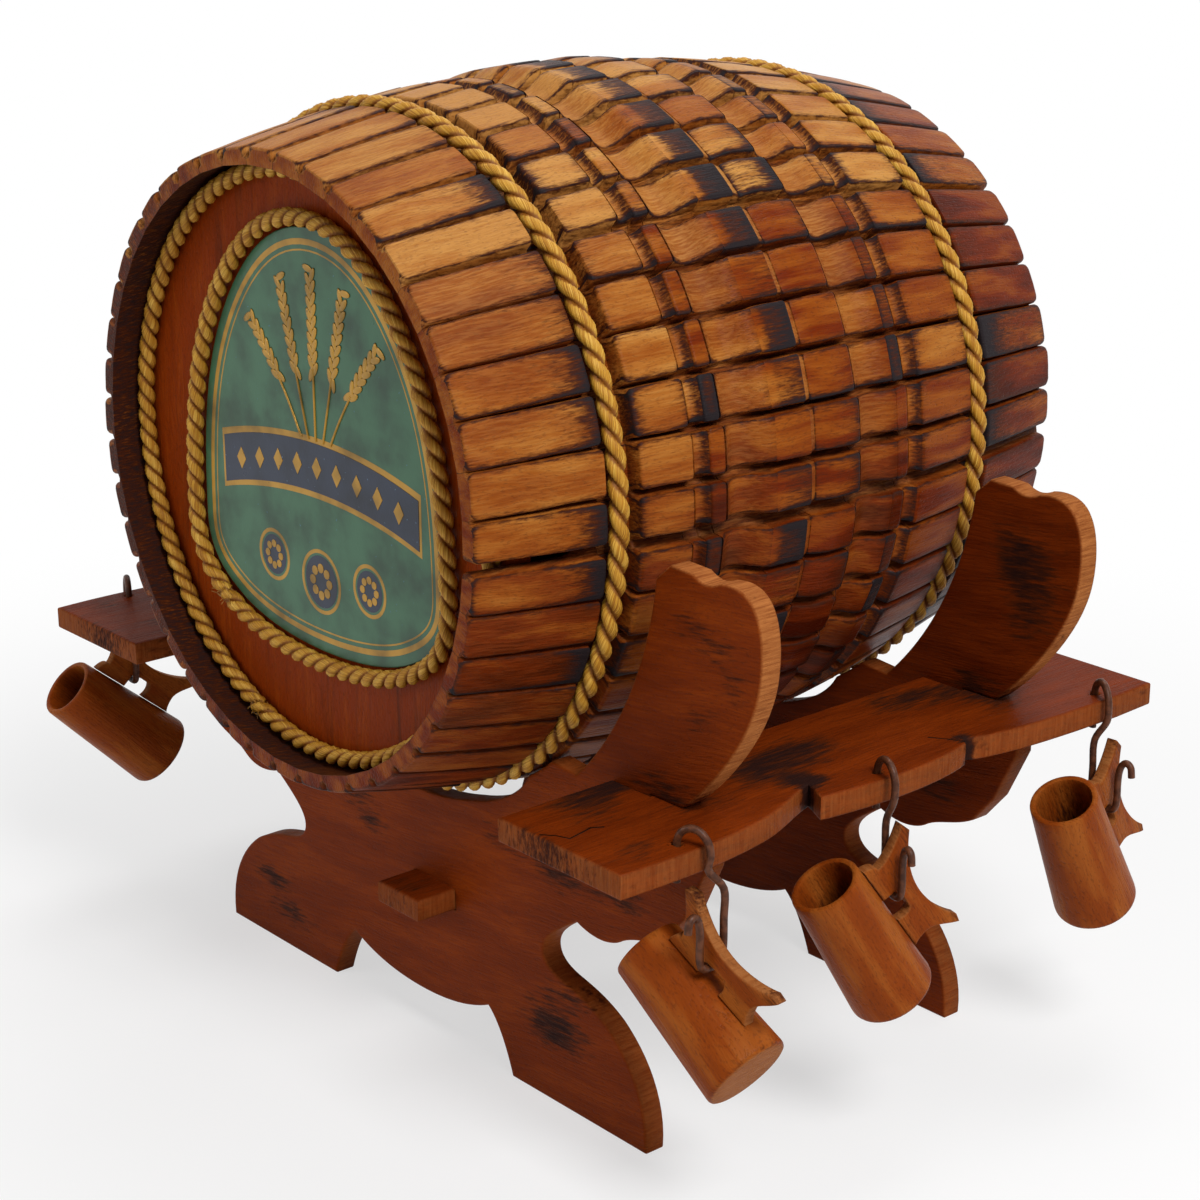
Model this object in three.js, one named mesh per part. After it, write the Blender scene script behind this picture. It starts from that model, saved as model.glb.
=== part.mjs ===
// Decorative wooden barrel lying on a trestle stand, with two side shelves, wire hooks and hanging mugs.
// Millimetres, +Z up. The barrel lies along Y and its panelled head faces -Y. The feet stand on z = 0.
import * as THREE from "three";

// Fit between neighbouring pieces.
const GAP = 0.3;

// Barrel.
const AXIS_Z = 260.5;
const HALF_LENGTH = 157.5;
const BELLY_RADIUS = 149.5;
const END_RADIUS = 128;
const BELLY_WALL = 10;
const END_WALL = 7;
const BULGE_POWER = 1.7;
const STAVES = 44;
const STAVES_IN_NODE = 2;
const STAVE_NODES = STAVES / STAVES_IN_NODE;
const STAVE_TURN = 0.5;
const STAVE_GAP = 0.6;
const END_JOINT = 1.2;
const BELLY_JOINT = 3;
const JOINT_FLOOR = 2.2;

// Wavy outer profile of a stave from front to rear: place along the barrel, and depth below the bulge.
// Each wide scoop drops steeply behind the edge in front of it and rises in a long curve.
const PROFILE = [
  [-65.5, 0],
  [-61.6, 3.4],
  [-58, 0.8],
  [-50.6, 0.8],
  [-48, 3.8],
  [-43, 4.8],
  [-27, 0],
  [-9.1, 0],
  [-4.7, 2.8],
  [6, 0],
  [18.1, 0],
  [20.7, 3.6],
  [25.7, 4.8],
  [41.9, 0.8],
  [49.4, 0.8],
  [53.6, 3.4],
  [57.5, 0],
];

// Ropes.
const HOOP_Y = 98.5;
const HOOP_ROPE = 4.5;
const HOOP_SINK = 1;
const HOOP_STEPS = 36;
const HOOP_GROOVE = HOOP_ROPE + 0.5;
const FRONT_GROOVE_SLACK = 4.5;
const REAR_GROOVE_SLACK = 2.5;
const HEAD_ROPE = 3.75;
const ROPE_SIDES = 6;

// Heads and the panel on the front one.
const HEAD_BOARD = 10;
const HEAD_RECESS = 19;
const PANEL_THICKNESS = 1.2;
const LOOP_X = 5;
const LOOP_TOP = 100.5;
const LOOP_BOTTOM = -79.5;
const LOOP_HALF_WIDTH = 87;

// Stand.
const BOARD = 10;
const TRESTLE_Y = 88;
const FOOT_OUTER = 148;
const FOOT_INNER = 64;
const HORN_RADIUS = 153.5;
const CRADLE_FLOOR_Z = 112;
const SHELF_TOP_Z = 155;
const SHELF_INNER_X = 128.5;
const SHELF_OUTER_X = 198;
const SHELF_HALF_LENGTH = 149.5;
const WING_X = 181;
const LAP_X = 150;
const STRETCHER_X = 12.5;
const STRETCHER_Z = 68.5;
const STRETCHER_WIDTH = 28;
const STRETCHER_PROUD = 19.5;

// Hooks.
const WIRE = 1.5;
const HOOK_HOLE = 2.1;
const HOLE_X = SHELF_OUTER_X - 8;
const BAR_OUT = 14;
const BAR_DROP = 46;

// Mugs, measured from the middle of the mouth: along the mug, and out from its axis.
const MUG_HEIGHT = 61;
const MOUTH_RADIUS = 14.25;
const BASE_RADIUS = 17.5;
const BORE_RADIUS = 11.6;
const MUG_FLOOR = 7;
const HANDLE_THICKNESS = 5.5;
const PIVOT_ALONG = 25.1;
const PIVOT_OUT = 20.8;
const PIVOT_CLEARANCE = 0.6;

// One entry for each hook: hole position along the shelf, turn of the hook in its hole, heading of the mug and tilt.
const HANGERS = [
  { name: "right_front", side: 1, y: -116, turn: 25, heading: 4, tilt: 57 },
  { name: "right_middle", side: 1, y: -11, turn: -15, heading: 75, tilt: 32 },
  { name: "right_rear", side: 1, y: 121, turn: -25, heading: 95, tilt: 28 },
  { name: "left_front", side: -1, y: -116, turn: -25, heading: 81, tilt: 47 },
  { name: "left_middle", side: -1, y: -11, turn: 8, heading: 96, tilt: 38 },
  { name: "left_rear", side: -1, y: 121, turn: -25, heading: 176, tilt: 57 },
];

const WOOD_DARK = 0x7a4524;
const WOOD_RED = 0x8a4a26;
const WOOD_LIGHT = 0xa8733f;
const ROPE_GOLD = 0xb58a3a;
const PANEL_GREEN = 0x3c6450;
const WIRE_BROWN = 0x4a3226;

const model = new THREE.Group();
model.name = "decorative_barrel";

function add(name, geometry, color, matrix) {
  const material = new THREE.MeshStandardMaterial({ color, roughness: 0.6 });
  const mesh = new THREE.Mesh(geometry, material);
  mesh.name = name;
  if (matrix) mesh.applyMatrix4(matrix);
  model.add(mesh);
}

function radians(degrees) {
  return THREE.MathUtils.degToRad(degrees);
}

// A flat board: the outline lies in X and Z, and the thickness runs along Y about the given middle.
function uprightBoard(shape, thickness, middleY) {
  const geometry = new THREE.ExtrudeGeometry(shape, { depth: thickness, bevelEnabled: false });
  geometry.rotateX(Math.PI / 2);
  geometry.translate(0, middleY + thickness / 2, 0);
  return geometry;
}

// A round rod or rope along a curve, with closed ends.
function rod(curve, radius, sides, steps) {
  const section = new THREE.Shape();
  for (let i = 0; i < sides; i++) {
    const angle = (2 * Math.PI * i) / sides;
    const x = radius * Math.cos(angle);
    const y = radius * Math.sin(angle);
    if (i === 0) section.moveTo(x, y);
    else section.lineTo(x, y);
  }
  return new THREE.ExtrudeGeometry(section, { steps, extrudePath: curve, bevelEnabled: false });
}

// A closed skin over rings that all have the same number of points, capped at both ends.
function loft(rings, capTriangles) {
  const size = rings[0].length;
  const positions = rings.flat().flatMap((point) => [point.x, point.y, point.z]);
  const index = [];
  for (let r = 0; r < rings.length - 1; r++) {
    for (let i = 0; i < size; i++) {
      const a = r * size + i;
      const b = r * size + ((i + 1) % size);
      index.push(a, a + size, b, b, a + size, b + size);
    }
  }
  const last = (rings.length - 1) * size;
  for (const [a, b, c] of capTriangles) {
    index.push(a, b, c);
    index.push(last + a, last + c, last + b);
  }
  const geometry = new THREE.BufferGeometry();
  geometry.setAttribute("position", new THREE.Float32BufferAttribute(positions, 3));
  geometry.setIndex(index);
  geometry.computeVertexNormals();
  return geometry;
}

// A size that changes along the bulge, from its value at the belly to its value at both ends.
function alongBulge(belly, end, y) {
  const t = Math.pow(Math.abs(y) / HALF_LENGTH, BULGE_POWER);
  return THREE.MathUtils.lerp(belly, end, t);
}

// Radius of the bulge outside and inside the staves.
function bulge(y) {
  return alongBulge(BELLY_RADIUS, END_RADIUS, y);
}

function inside(y) {
  return alongBulge(BELLY_RADIUS - BELLY_WALL, END_RADIUS - END_WALL, y);
}

const HOOP_RADIUS = bulge(HOOP_Y) - HOOP_SINK;
const HOOP_FLOOR = HOOP_RADIUS * Math.cos(Math.PI / HOOP_STEPS) - HOOP_ROPE - GAP;
const LAND_START = HOOP_Y + HOOP_GROOVE;

// Clear radius inside the staves near an end, where their inner faces run straight.
function clearInside(y) {
  const t = (Math.abs(y) - LAND_START) / (HALF_LENGTH - LAND_START);
  const radius = THREE.MathUtils.lerp(inside(LAND_START), inside(HALF_LENGTH), t);
  return radius * Math.cos(Math.PI / STAVE_NODES) - GAP;
}

// Stations along a stave from front to rear, each with its outer radius.
function staveStations() {
  const grooveStations = (from, to) => [
    { y: from, outer: bulge(from) },
    { y: from + 0.2, outer: HOOP_FLOOR },
    { y: to - 0.2, outer: HOOP_FLOOR },
    { y: to, outer: bulge(to) },
  ];
  const stations = [
    { y: -HALF_LENGTH, outer: END_RADIUS },
    { y: HALF_LENGTH, outer: END_RADIUS },
    ...grooveStations(-LAND_START, -HOOP_Y + HOOP_GROOVE + FRONT_GROOVE_SLACK),
    ...grooveStations(HOOP_Y - HOOP_GROOVE, LAND_START + REAR_GROOVE_SLACK),
    ...PROFILE.map(([y, depth]) => ({ y, outer: bulge(y) - depth })),
  ];
  return stations.sort((a, b) => a.y - b.y);
}

function around(radius, angle, y) {
  return new THREE.Vector3(radius * Math.cos(angle), y, AXIS_Z + radius * Math.sin(angle));
}

// Two neighbouring staves with the open joint between them. The joints open towards the belly.
function stavePair(number) {
  const width = (2 * Math.PI) / STAVES;
  const start = (number * STAVES_IN_NODE + STAVE_TURN) * width;
  const end = start + STAVES_IN_NODE * width;
  const middle = start + width;
  const rings = staveStations().map(({ y, outer }) => {
    const inner = inside(y);
    const innerEdge = STAVE_GAP / 2 / inner;
    const outerEdge = alongBulge(BELLY_JOINT, END_JOINT, y) / 2 / outer;
    return [
      around(inner, start + innerEdge, y),
      around(outer, start + outerEdge, y),
      around(outer, middle - outerEdge, y),
      around(inner + JOINT_FLOOR, middle, y),
      around(outer, middle + outerEdge, y),
      around(outer, end - outerEdge, y),
      around(inner, end - innerEdge, y),
    ];
  });
  const cap = [
    [0, 1, 2],
    [0, 2, 3],
    [0, 3, 6],
    [3, 4, 6],
    [4, 5, 6],
  ];
  return loft(rings, cap);
}

for (let n = 0; n < STAVE_NODES; n++) {
  add(`stave_pair_${String(n + 1).padStart(2, "0")}`, stavePair(n), n % 2 ? WOOD_RED : WOOD_DARK);
}

// Heads: round boards whose edges follow the taper inside the staves.
function head(faceY) {
  const side = Math.sign(faceY);
  const innerY = faceY - side * HEAD_BOARD;
  const profile = [
    new THREE.Vector2(0, -HALF_LENGTH + HEAD_RECESS),
    new THREE.Vector2(clearInside(faceY), -HALF_LENGTH + HEAD_RECESS),
    new THREE.Vector2(clearInside(innerY), -HALF_LENGTH + HEAD_RECESS + HEAD_BOARD),
    new THREE.Vector2(0, -HALF_LENGTH + HEAD_RECESS + HEAD_BOARD),
  ];
  const geometry = new THREE.LatheGeometry(profile, STAVES);
  if (side > 0) geometry.rotateX(Math.PI);
  geometry.translate(0, 0, AXIS_Z);
  return geometry;
}

const FACE_Y = -(HALF_LENGTH - HEAD_RECESS);
add("front_head", head(FACE_Y), WOOD_LIGHT);
add("rear_head", head(-FACE_Y), WOOD_LIGHT);

// A ring of rope about the barrel axis, with its ends butted at the given angle.
class RingCurve extends THREE.Curve {
  constructor(radius, y, jointAngle) {
    super();
    this.radius = radius;
    this.y = y;
    this.start = jointAngle + GAP / radius;
    this.sweep = 2 * Math.PI - (2 * GAP) / radius;
  }

  getPoint(t, target = new THREE.Vector3()) {
    return target.copy(around(this.radius, this.start + t * this.sweep, this.y));
  }
}

for (const [name, side] of [["front", -1], ["rear", 1]]) {
  const curve = new RingCurve(HOOP_RADIUS, side * HOOP_Y, radians(-100));
  add(`rope_hoop_${name}`, rod(curve, HOOP_ROPE, ROPE_SIDES, HOOP_STEPS), ROPE_GOLD);
}

const ROPE_Y = FACE_Y - GAP - HEAD_ROPE;
const RING_RADIUS = clearInside(ROPE_Y) - HEAD_ROPE;
const headRing = new RingCurve(RING_RADIUS, ROPE_Y, radians(-110));
add("rope_head_ring", rod(headRing, HEAD_ROPE, ROPE_SIDES, HOOP_STEPS), ROPE_GOLD);

// The loop round the panel: a rounded egg with a broad foot, given in X and Z about the barrel axis.
function loopOutline() {
  const w = LOOP_HALF_WIDTH;
  const path = new THREE.Path();
  path.moveTo(0, LOOP_TOP);
  path.bezierCurveTo(-0.32 * w, LOOP_TOP, -0.55 * w, 0.84 * LOOP_TOP, -0.72 * w, 0.63 * LOOP_TOP);
  path.bezierCurveTo(-0.92 * w, 0.38 * LOOP_TOP, -w, 0.1 * LOOP_TOP, -w, 0.43 * LOOP_BOTTOM);
  path.bezierCurveTo(-w, 0.64 * LOOP_BOTTOM, -0.9 * w, 0.76 * LOOP_BOTTOM, -0.71 * w, 0.86 * LOOP_BOTTOM);
  path.bezierCurveTo(-0.55 * w, 0.95 * LOOP_BOTTOM, -0.29 * w, LOOP_BOTTOM, 0, LOOP_BOTTOM);
  path.bezierCurveTo(0.29 * w, LOOP_BOTTOM, 0.55 * w, 0.95 * LOOP_BOTTOM, 0.71 * w, 0.86 * LOOP_BOTTOM);
  path.bezierCurveTo(0.9 * w, 0.76 * LOOP_BOTTOM, w, 0.64 * LOOP_BOTTOM, w, 0.43 * LOOP_BOTTOM);
  path.bezierCurveTo(w, 0.1 * LOOP_TOP, 0.92 * w, 0.38 * LOOP_TOP, 0.72 * w, 0.63 * LOOP_TOP);
  path.bezierCurveTo(0.55 * w, 0.84 * LOOP_TOP, 0.32 * w, LOOP_TOP, 0, LOOP_TOP);
  return path;
}

// The rope along that outline, its ends butted at the lower left.
class LoopCurve extends THREE.Curve {
  constructor(outline, y, joint) {
    super();
    this.outline = outline;
    this.y = y;
    this.joint = joint;
    this.inset = GAP / outline.getLength();
  }

  getPoint(t, target = new THREE.Vector3()) {
    const along = this.joint + this.inset + t * (1 - 2 * this.inset);
    const point = this.outline.getPointAt(along % 1);
    return target.set(LOOP_X + point.x, this.y, AXIS_Z + point.y);
  }
}

const loop = loopOutline();
add("rope_label_loop", rod(new LoopCurve(loop, ROPE_Y, 0.36), HEAD_ROPE, ROPE_SIDES, 40), ROPE_GOLD);

// The panel fills the loop up to the rope.
function panelShape() {
  const inset = HEAD_ROPE + GAP;
  const points = [];
  const count = 40;
  for (let i = 0; i < count; i++) {
    const point = loop.getPointAt(i / count);
    const tangent = loop.getTangentAt(i / count);
    points.push(new THREE.Vector2(LOOP_X + point.x - tangent.y * inset, AXIS_Z + point.y + tangent.x * inset));
  }
  return new THREE.Shape(points);
}

const PANEL_Y = FACE_Y - GAP - PANEL_THICKNESS / 2;
add("label_panel", uprightBoard(panelShape(), PANEL_THICKNESS, PANEL_Y), PANEL_GREEN);

// Trestle boards. The right half of the outline runs from the middle of the apron to the cradle floor.
const SEAT_RADIUS = bulge(TRESTLE_Y - BOARD / 2) + GAP;

function onCircle(radius, degrees) {
  const angle = radians(degrees);
  return [radius * Math.cos(angle), AXIS_Z + radius * Math.sin(angle)];
}

function trestleHalf() {
  const shelfUnder = SHELF_TOP_Z - BOARD - GAP;
  const shelfOver = SHELF_TOP_Z + GAP;
  const [seatX, seatZ] = onCircle(SEAT_RADIUS, -57.5);
  const path = new THREE.Path();
  path.moveTo(0, 17.5);
  path.bezierCurveTo(20, 17.5, 36, 21, FOOT_INNER - 16, 27);
  path.quadraticCurveTo(FOOT_INNER - 7, 20, FOOT_INNER, 0);
  path.lineTo(FOOT_OUTER, 0);
  path.bezierCurveTo(FOOT_OUTER + 2, 22, FOOT_OUTER - 10, 38, FOOT_OUTER - 23, 47);
  path.bezierCurveTo(FOOT_OUTER - 33, 53, FOOT_OUTER - 42, 55, FOOT_OUTER - 51, 57);
  path.bezierCurveTo(89, 59, 85, 62, 85, 67);
  path.bezierCurveTo(85, 73, 94, 79, 106, 86.5);
  path.bezierCurveTo(113, 83.5, 124, 82, 132, 87);
  path.bezierCurveTo(139, 92, 149, 92, WING_X - 22, 98);
  path.lineTo(WING_X - 11, 111);
  path.lineTo(WING_X, 134);
  path.lineTo(WING_X, shelfUnder);
  path.lineTo(LAP_X, shelfUnder);
  path.lineTo(LAP_X, shelfOver);
  path.lineTo(168, shelfOver);
  path.bezierCurveTo(181, 166, 199, 186, 205.5, 205);
  path.bezierCurveTo(209.5, 216, 210, 233, 205, 241);
  path.bezierCurveTo(201, 248.5, 192, 249, 186, 247.5);
  path.bezierCurveTo(181, 245, 177, 245, 172, 248);
  path.lineTo(160, 248.5);
  path.lineTo(...onCircle(HORN_RADIUS, -7));
  path.absarc(0, AXIS_Z, HORN_RADIUS, radians(-7), radians(-46), true);
  path.lineTo(...onCircle(SEAT_RADIUS, -50));
  path.absarc(0, AXIS_Z, SEAT_RADIUS, radians(-50), radians(-57.5), true);
  path.bezierCurveTo(seatX - 6, seatZ - 11, 54, 121, 36, 117);
  path.quadraticCurveTo(18, CRADLE_FLOOR_Z, 0, CRADLE_FLOOR_Z);
  return path.getPoints(4);
}

function rectangleHole(x, z, width, height) {
  const hole = new THREE.Path();
  hole.moveTo(x - width / 2, z - height / 2);
  hole.lineTo(x + width / 2, z - height / 2);
  hole.lineTo(x + width / 2, z + height / 2);
  hole.lineTo(x - width / 2, z + height / 2);
  return hole;
}

function trestleShape() {
  const right = trestleHalf();
  const left = right.slice(1, -1).reverse();
  const points = [...right, ...left.map((point) => new THREE.Vector2(-point.x, point.y))];
  const shape = new THREE.Shape(points);
  const width = STRETCHER_WIDTH + 2 * GAP;
  shape.holes.push(rectangleHole(STRETCHER_X, STRETCHER_Z, width, BOARD + 2 * GAP));
  return shape;
}

add("trestle_front", uprightBoard(trestleShape(), BOARD, -TRESTLE_Y), WOOD_RED);
add("trestle_rear", uprightBoard(trestleShape(), BOARD, TRESTLE_Y), WOOD_RED);

const stretcherLength = 2 * (TRESTLE_Y + BOARD / 2 + STRETCHER_PROUD);
const stretcher = new THREE.BoxGeometry(STRETCHER_WIDTH, stretcherLength, BOARD);
stretcher.translate(STRETCHER_X, 0, STRETCHER_Z);
add("stretcher", stretcher, WOOD_RED);

// Shelves: the outer edge has three lobes, the inner edge two slots that lap over the trestles.
function shelfShape(side) {
  const outer = SHELF_OUTER_X;
  const slot = BOARD / 2 + GAP;
  const path = new THREE.Path();
  path.moveTo(SHELF_INNER_X, -SHELF_HALF_LENGTH);
  path.lineTo(outer - 0.5, -SHELF_HALF_LENGTH);
  path.bezierCurveTo(outer + 1, -125, outer + 1, -95, outer - 5, -72);
  path.bezierCurveTo(outer - 8, -60, outer - 14, -50, outer - 17, -39.5);
  path.lineTo(outer - 4.5, -45.5);
  path.bezierCurveTo(outer, -20, outer + 1.5, 15, outer - 6, 38);
  path.lineTo(outer - 10, 41);
  path.bezierCurveTo(outer - 4, 50, outer - 0.5, 75, outer, 127);
  path.lineTo(outer - 1, SHELF_HALF_LENGTH);
  path.lineTo(SHELF_INNER_X, SHELF_HALF_LENGTH);
  for (const y of [TRESTLE_Y, -TRESTLE_Y]) {
    path.lineTo(SHELF_INNER_X, y + slot);
    path.lineTo(LAP_X + GAP, y + slot);
    path.lineTo(LAP_X + GAP, y - slot);
    path.lineTo(SHELF_INNER_X, y - slot);
  }
  const points = path.getPoints(5).map((point) => new THREE.Vector2(side * point.x, point.y));
  const shape = new THREE.Shape(points);
  for (const hanger of HANGERS.filter((entry) => entry.side === side)) {
    const hole = new THREE.Path();
    const start = Math.PI / 8;
    for (let i = 0; i < 8; i++) {
      const angle = start + (i * Math.PI) / 4;
      const x = side * HOLE_X + HOOK_HOLE * Math.cos(angle);
      const y = hanger.y + HOOK_HOLE * Math.sin(angle);
      if (i === 0) hole.moveTo(x, y);
      else hole.lineTo(x, y);
    }
    shape.holes.push(hole);
  }
  return shape;
}

for (const [name, side] of [["right", 1], ["left", -1]]) {
  const geometry = new THREE.ExtrudeGeometry(shelfShape(side), { depth: BOARD, bevelEnabled: false });
  geometry.translate(0, 0, SHELF_TOP_Z - BOARD);
  add(`shelf_${name}`, geometry, WOOD_RED);
}

// Hooks: the arch goes up through the hole and over the shelf edge, the lower part carries the mug on a short bar.
const ARCH = [
  [0, -15],
  [0, 0],
  [0.6, 3],
  [2.4, 5.6],
  [5.2, 7],
  [8.2, 6.6],
  [10.8, 4.6],
  [12.6, 1.4],
  [13.2, -2.5],
  [12.4, -8],
];
const LOWER = [
  [-6.2, -17],
  [-6.4, -29],
  [-6.2, 4.6 - BAR_DROP],
  [-5.3, 1.3 - BAR_DROP],
  [-3.3, -BAR_DROP],
  [3.3, -BAR_DROP],
  [5.3, 1.3 - BAR_DROP],
  [6.2, 4.6 - BAR_DROP],
  [6.2, -33],
  [6.6, -28],
  [7.8, -24.8],
  [9.8, -23.4],
  [11.8, -24.6],
  [12.6, -29],
];

// A wire bent through the given points, sampled at those points and nowhere else.
class BentWire extends THREE.CatmullRomCurve3 {
  getPointAt(u, target) {
    return this.getPoint(u, target);
  }

  getTangentAt(u, target) {
    return this.getTangent(u, target);
  }
}

function level(degrees) {
  return new THREE.Vector3(Math.cos(radians(degrees)), Math.sin(radians(degrees)), 0);
}

function outward(hanger) {
  return level((hanger.side > 0 ? 0 : 180) + hanger.turn);
}

function pivotOf(hanger) {
  const pivot = new THREE.Vector3(hanger.side * HOLE_X, hanger.y, SHELF_TOP_Z - BAR_DROP);
  return pivot.addScaledVector(outward(hanger), BAR_OUT);
}

function hookCurve(hanger) {
  const out = outward(hanger);
  const across = level(hanger.heading - 90);
  const pivot = pivotOf(hanger);
  const facing = across.dot(new THREE.Vector3(hanger.side, 0, 0)) < -0.2 ? -1 : 1;
  const points = ARCH.map(([r, z]) => {
    const point = new THREE.Vector3(hanger.side * HOLE_X, hanger.y, SHELF_TOP_Z + z);
    return point.addScaledVector(out, r);
  });
  for (const [s, z] of LOWER) {
    const point = new THREE.Vector3(pivot.x, pivot.y, SHELF_TOP_Z + z);
    points.push(point.addScaledVector(across, facing * s));
  }
  return new BentWire(points, false, "centripetal");
}

// Mugs: turned about local Y from the mouth, with the handle standing out along local X.
function mugBody() {
  const profile = [
    new THREE.Vector2(0, MUG_HEIGHT - MUG_FLOOR),
    new THREE.Vector2(BORE_RADIUS, MUG_HEIGHT - MUG_FLOOR),
    new THREE.Vector2(BORE_RADIUS, 0),
    new THREE.Vector2(MOUTH_RADIUS, 0),
    new THREE.Vector2(BASE_RADIUS, MUG_HEIGHT - 1.5),
    new THREE.Vector2(BASE_RADIUS - 1.5, MUG_HEIGHT),
    new THREE.Vector2(0, MUG_HEIGHT),
  ];
  return new THREE.LatheGeometry(profile, 18);
}

function wallAt(along) {
  return THREE.MathUtils.lerp(MOUTH_RADIUS, BASE_RADIUS, along / (MUG_HEIGHT - 1.5)) + GAP;
}

// The handle: spurs at the top and bottom, a hollow grip between them, and a notch that hangs on the hook.
function mugHandle() {
  const notch = WIRE + PIVOT_CLEARANCE;
  const shape = new THREE.Shape();
  shape.moveTo(wallAt(6), 6);
  shape.quadraticCurveTo(20.5, 7, 20.5, 9.7);
  shape.quadraticCurveTo(27, 9.5, 38, 0.5);
  shape.lineTo(39.5, 5);
  shape.bezierCurveTo(33, 14, 30, 22, 30.5, 31);
  shape.bezierCurveTo(31, 38, 34, 46, 38, 51.5);
  shape.lineTo(37.5, 55.2);
  shape.bezierCurveTo(32, 52.5, 28, 47, 23, 48);
  shape.quadraticCurveTo(19, 48.5, wallAt(50), 50);
  shape.lineTo(wallAt(34.5), 34.5);
  shape.quadraticCurveTo(21, 36, 23.6, 33.5);
  shape.lineTo(PIVOT_OUT + notch + 0.6, PIVOT_ALONG + 3);
  shape.absarc(PIVOT_OUT, PIVOT_ALONG, notch, radians(20), radians(-110), true);
  shape.lineTo(wallAt(22.9), 22.9);
  const geometry = new THREE.ExtrudeGeometry(shape, {
    depth: HANDLE_THICKNESS,
    curveSegments: 3,
    bevelEnabled: false,
  });
  geometry.translate(0, 0, -HANDLE_THICKNESS / 2);
  return geometry;
}

function mugMatrix(hanger) {
  const heading = level(hanger.heading);
  const up = new THREE.Vector3(0, 0, 1);
  const tilt = radians(hanger.tilt);
  const along = heading.clone().multiplyScalar(Math.sin(tilt)).addScaledVector(up, -Math.cos(tilt));
  const out = heading.clone().multiplyScalar(Math.cos(tilt)).addScaledVector(up, Math.sin(tilt));
  const across = new THREE.Vector3().crossVectors(out, along);
  const mouth = pivotOf(hanger).addScaledVector(along, -PIVOT_ALONG).addScaledVector(out, -PIVOT_OUT);
  return new THREE.Matrix4().makeBasis(out, along, across).setPosition(mouth);
}

for (const hanger of HANGERS) {
  add(`hook_${hanger.name}`, rod(hookCurve(hanger), WIRE, 5, ARCH.length + LOWER.length - 1), WIRE_BROWN);
  add(`mug_${hanger.name}`, mugBody(), WOOD_LIGHT, mugMatrix(hanger));
  add(`mug_handle_${hanger.name}`, mugHandle(), WOOD_LIGHT, mugMatrix(hanger));
}

export default model;
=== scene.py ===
"""Looks of a decorative wooden barrel on a trestle stand, with rope hoops, shelves, wire hooks and mugs.

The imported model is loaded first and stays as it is. Sizes in the classes are millimetres in its frame,
and the meshes made from them are metres.
"""
import logging
import math
import random
from dataclasses import dataclass, field
from enum import Enum
from typing import Any, Callable, Sequence

import bmesh
import bpy
from bpy.types import ID, Material, Node, NodeSocket as Socket, NodeTree as Tree, Object as Piece
from mathutils import Matrix, Vector, geometry, noise


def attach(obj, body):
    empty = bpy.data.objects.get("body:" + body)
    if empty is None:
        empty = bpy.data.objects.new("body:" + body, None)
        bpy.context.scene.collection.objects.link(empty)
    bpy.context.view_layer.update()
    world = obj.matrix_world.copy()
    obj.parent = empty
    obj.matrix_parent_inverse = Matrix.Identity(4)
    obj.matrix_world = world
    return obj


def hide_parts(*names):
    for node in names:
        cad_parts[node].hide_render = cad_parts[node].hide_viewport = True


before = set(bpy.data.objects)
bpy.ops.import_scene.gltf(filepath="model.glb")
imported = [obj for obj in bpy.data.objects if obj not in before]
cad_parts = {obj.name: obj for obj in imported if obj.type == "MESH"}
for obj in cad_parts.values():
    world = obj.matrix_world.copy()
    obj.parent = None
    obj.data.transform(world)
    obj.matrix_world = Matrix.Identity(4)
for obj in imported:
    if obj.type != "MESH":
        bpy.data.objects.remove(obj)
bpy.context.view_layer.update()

LOG = logging.getLogger("barrel")
MM = 0.001
Pair = tuple[float, float]
Triple = tuple[float, float, float]
Colour = Triple


def paint(colour: Colour) -> tuple[float, float, float, float]:
    """Turns a colour of 0 to 255 as seen on a screen into the linear colour that a shader takes.

    Args:
        colour: Red, green and blue from 0 to 255.
    Returns:
        Linear red, green, blue and a full alpha.
    """
    def linear(value: float) -> float:
        """One channel."""
        part = value / 255.0
        return part / 12.92 if part <= 0.04045 else ((part + 0.055) / 1.055) ** 2.4

    return (*(linear(value) for value in colour), 1.0)


def blend(first: float, second: float, part: float) -> float:
    """The value that lies the given part of the way from first to second."""
    return first + (second - first) * part


def rise(value: float, start: float, end: float) -> float:
    """How far a value has come from start to end, from 0 to 1."""
    return min(1.0, max(0.0, (value - start) / (end - start)))


def put(name: str, data: ID) -> Piece:
    """Makes an object and links it into the scene.

    Args:
        name: Name of the object.
        data: Its mesh, lamp or camera.
    Returns:
        The new object.
    """
    made = bpy.data.objects.new(name, data)
    bpy.context.scene.collection.objects.link(made)
    return made


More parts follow.
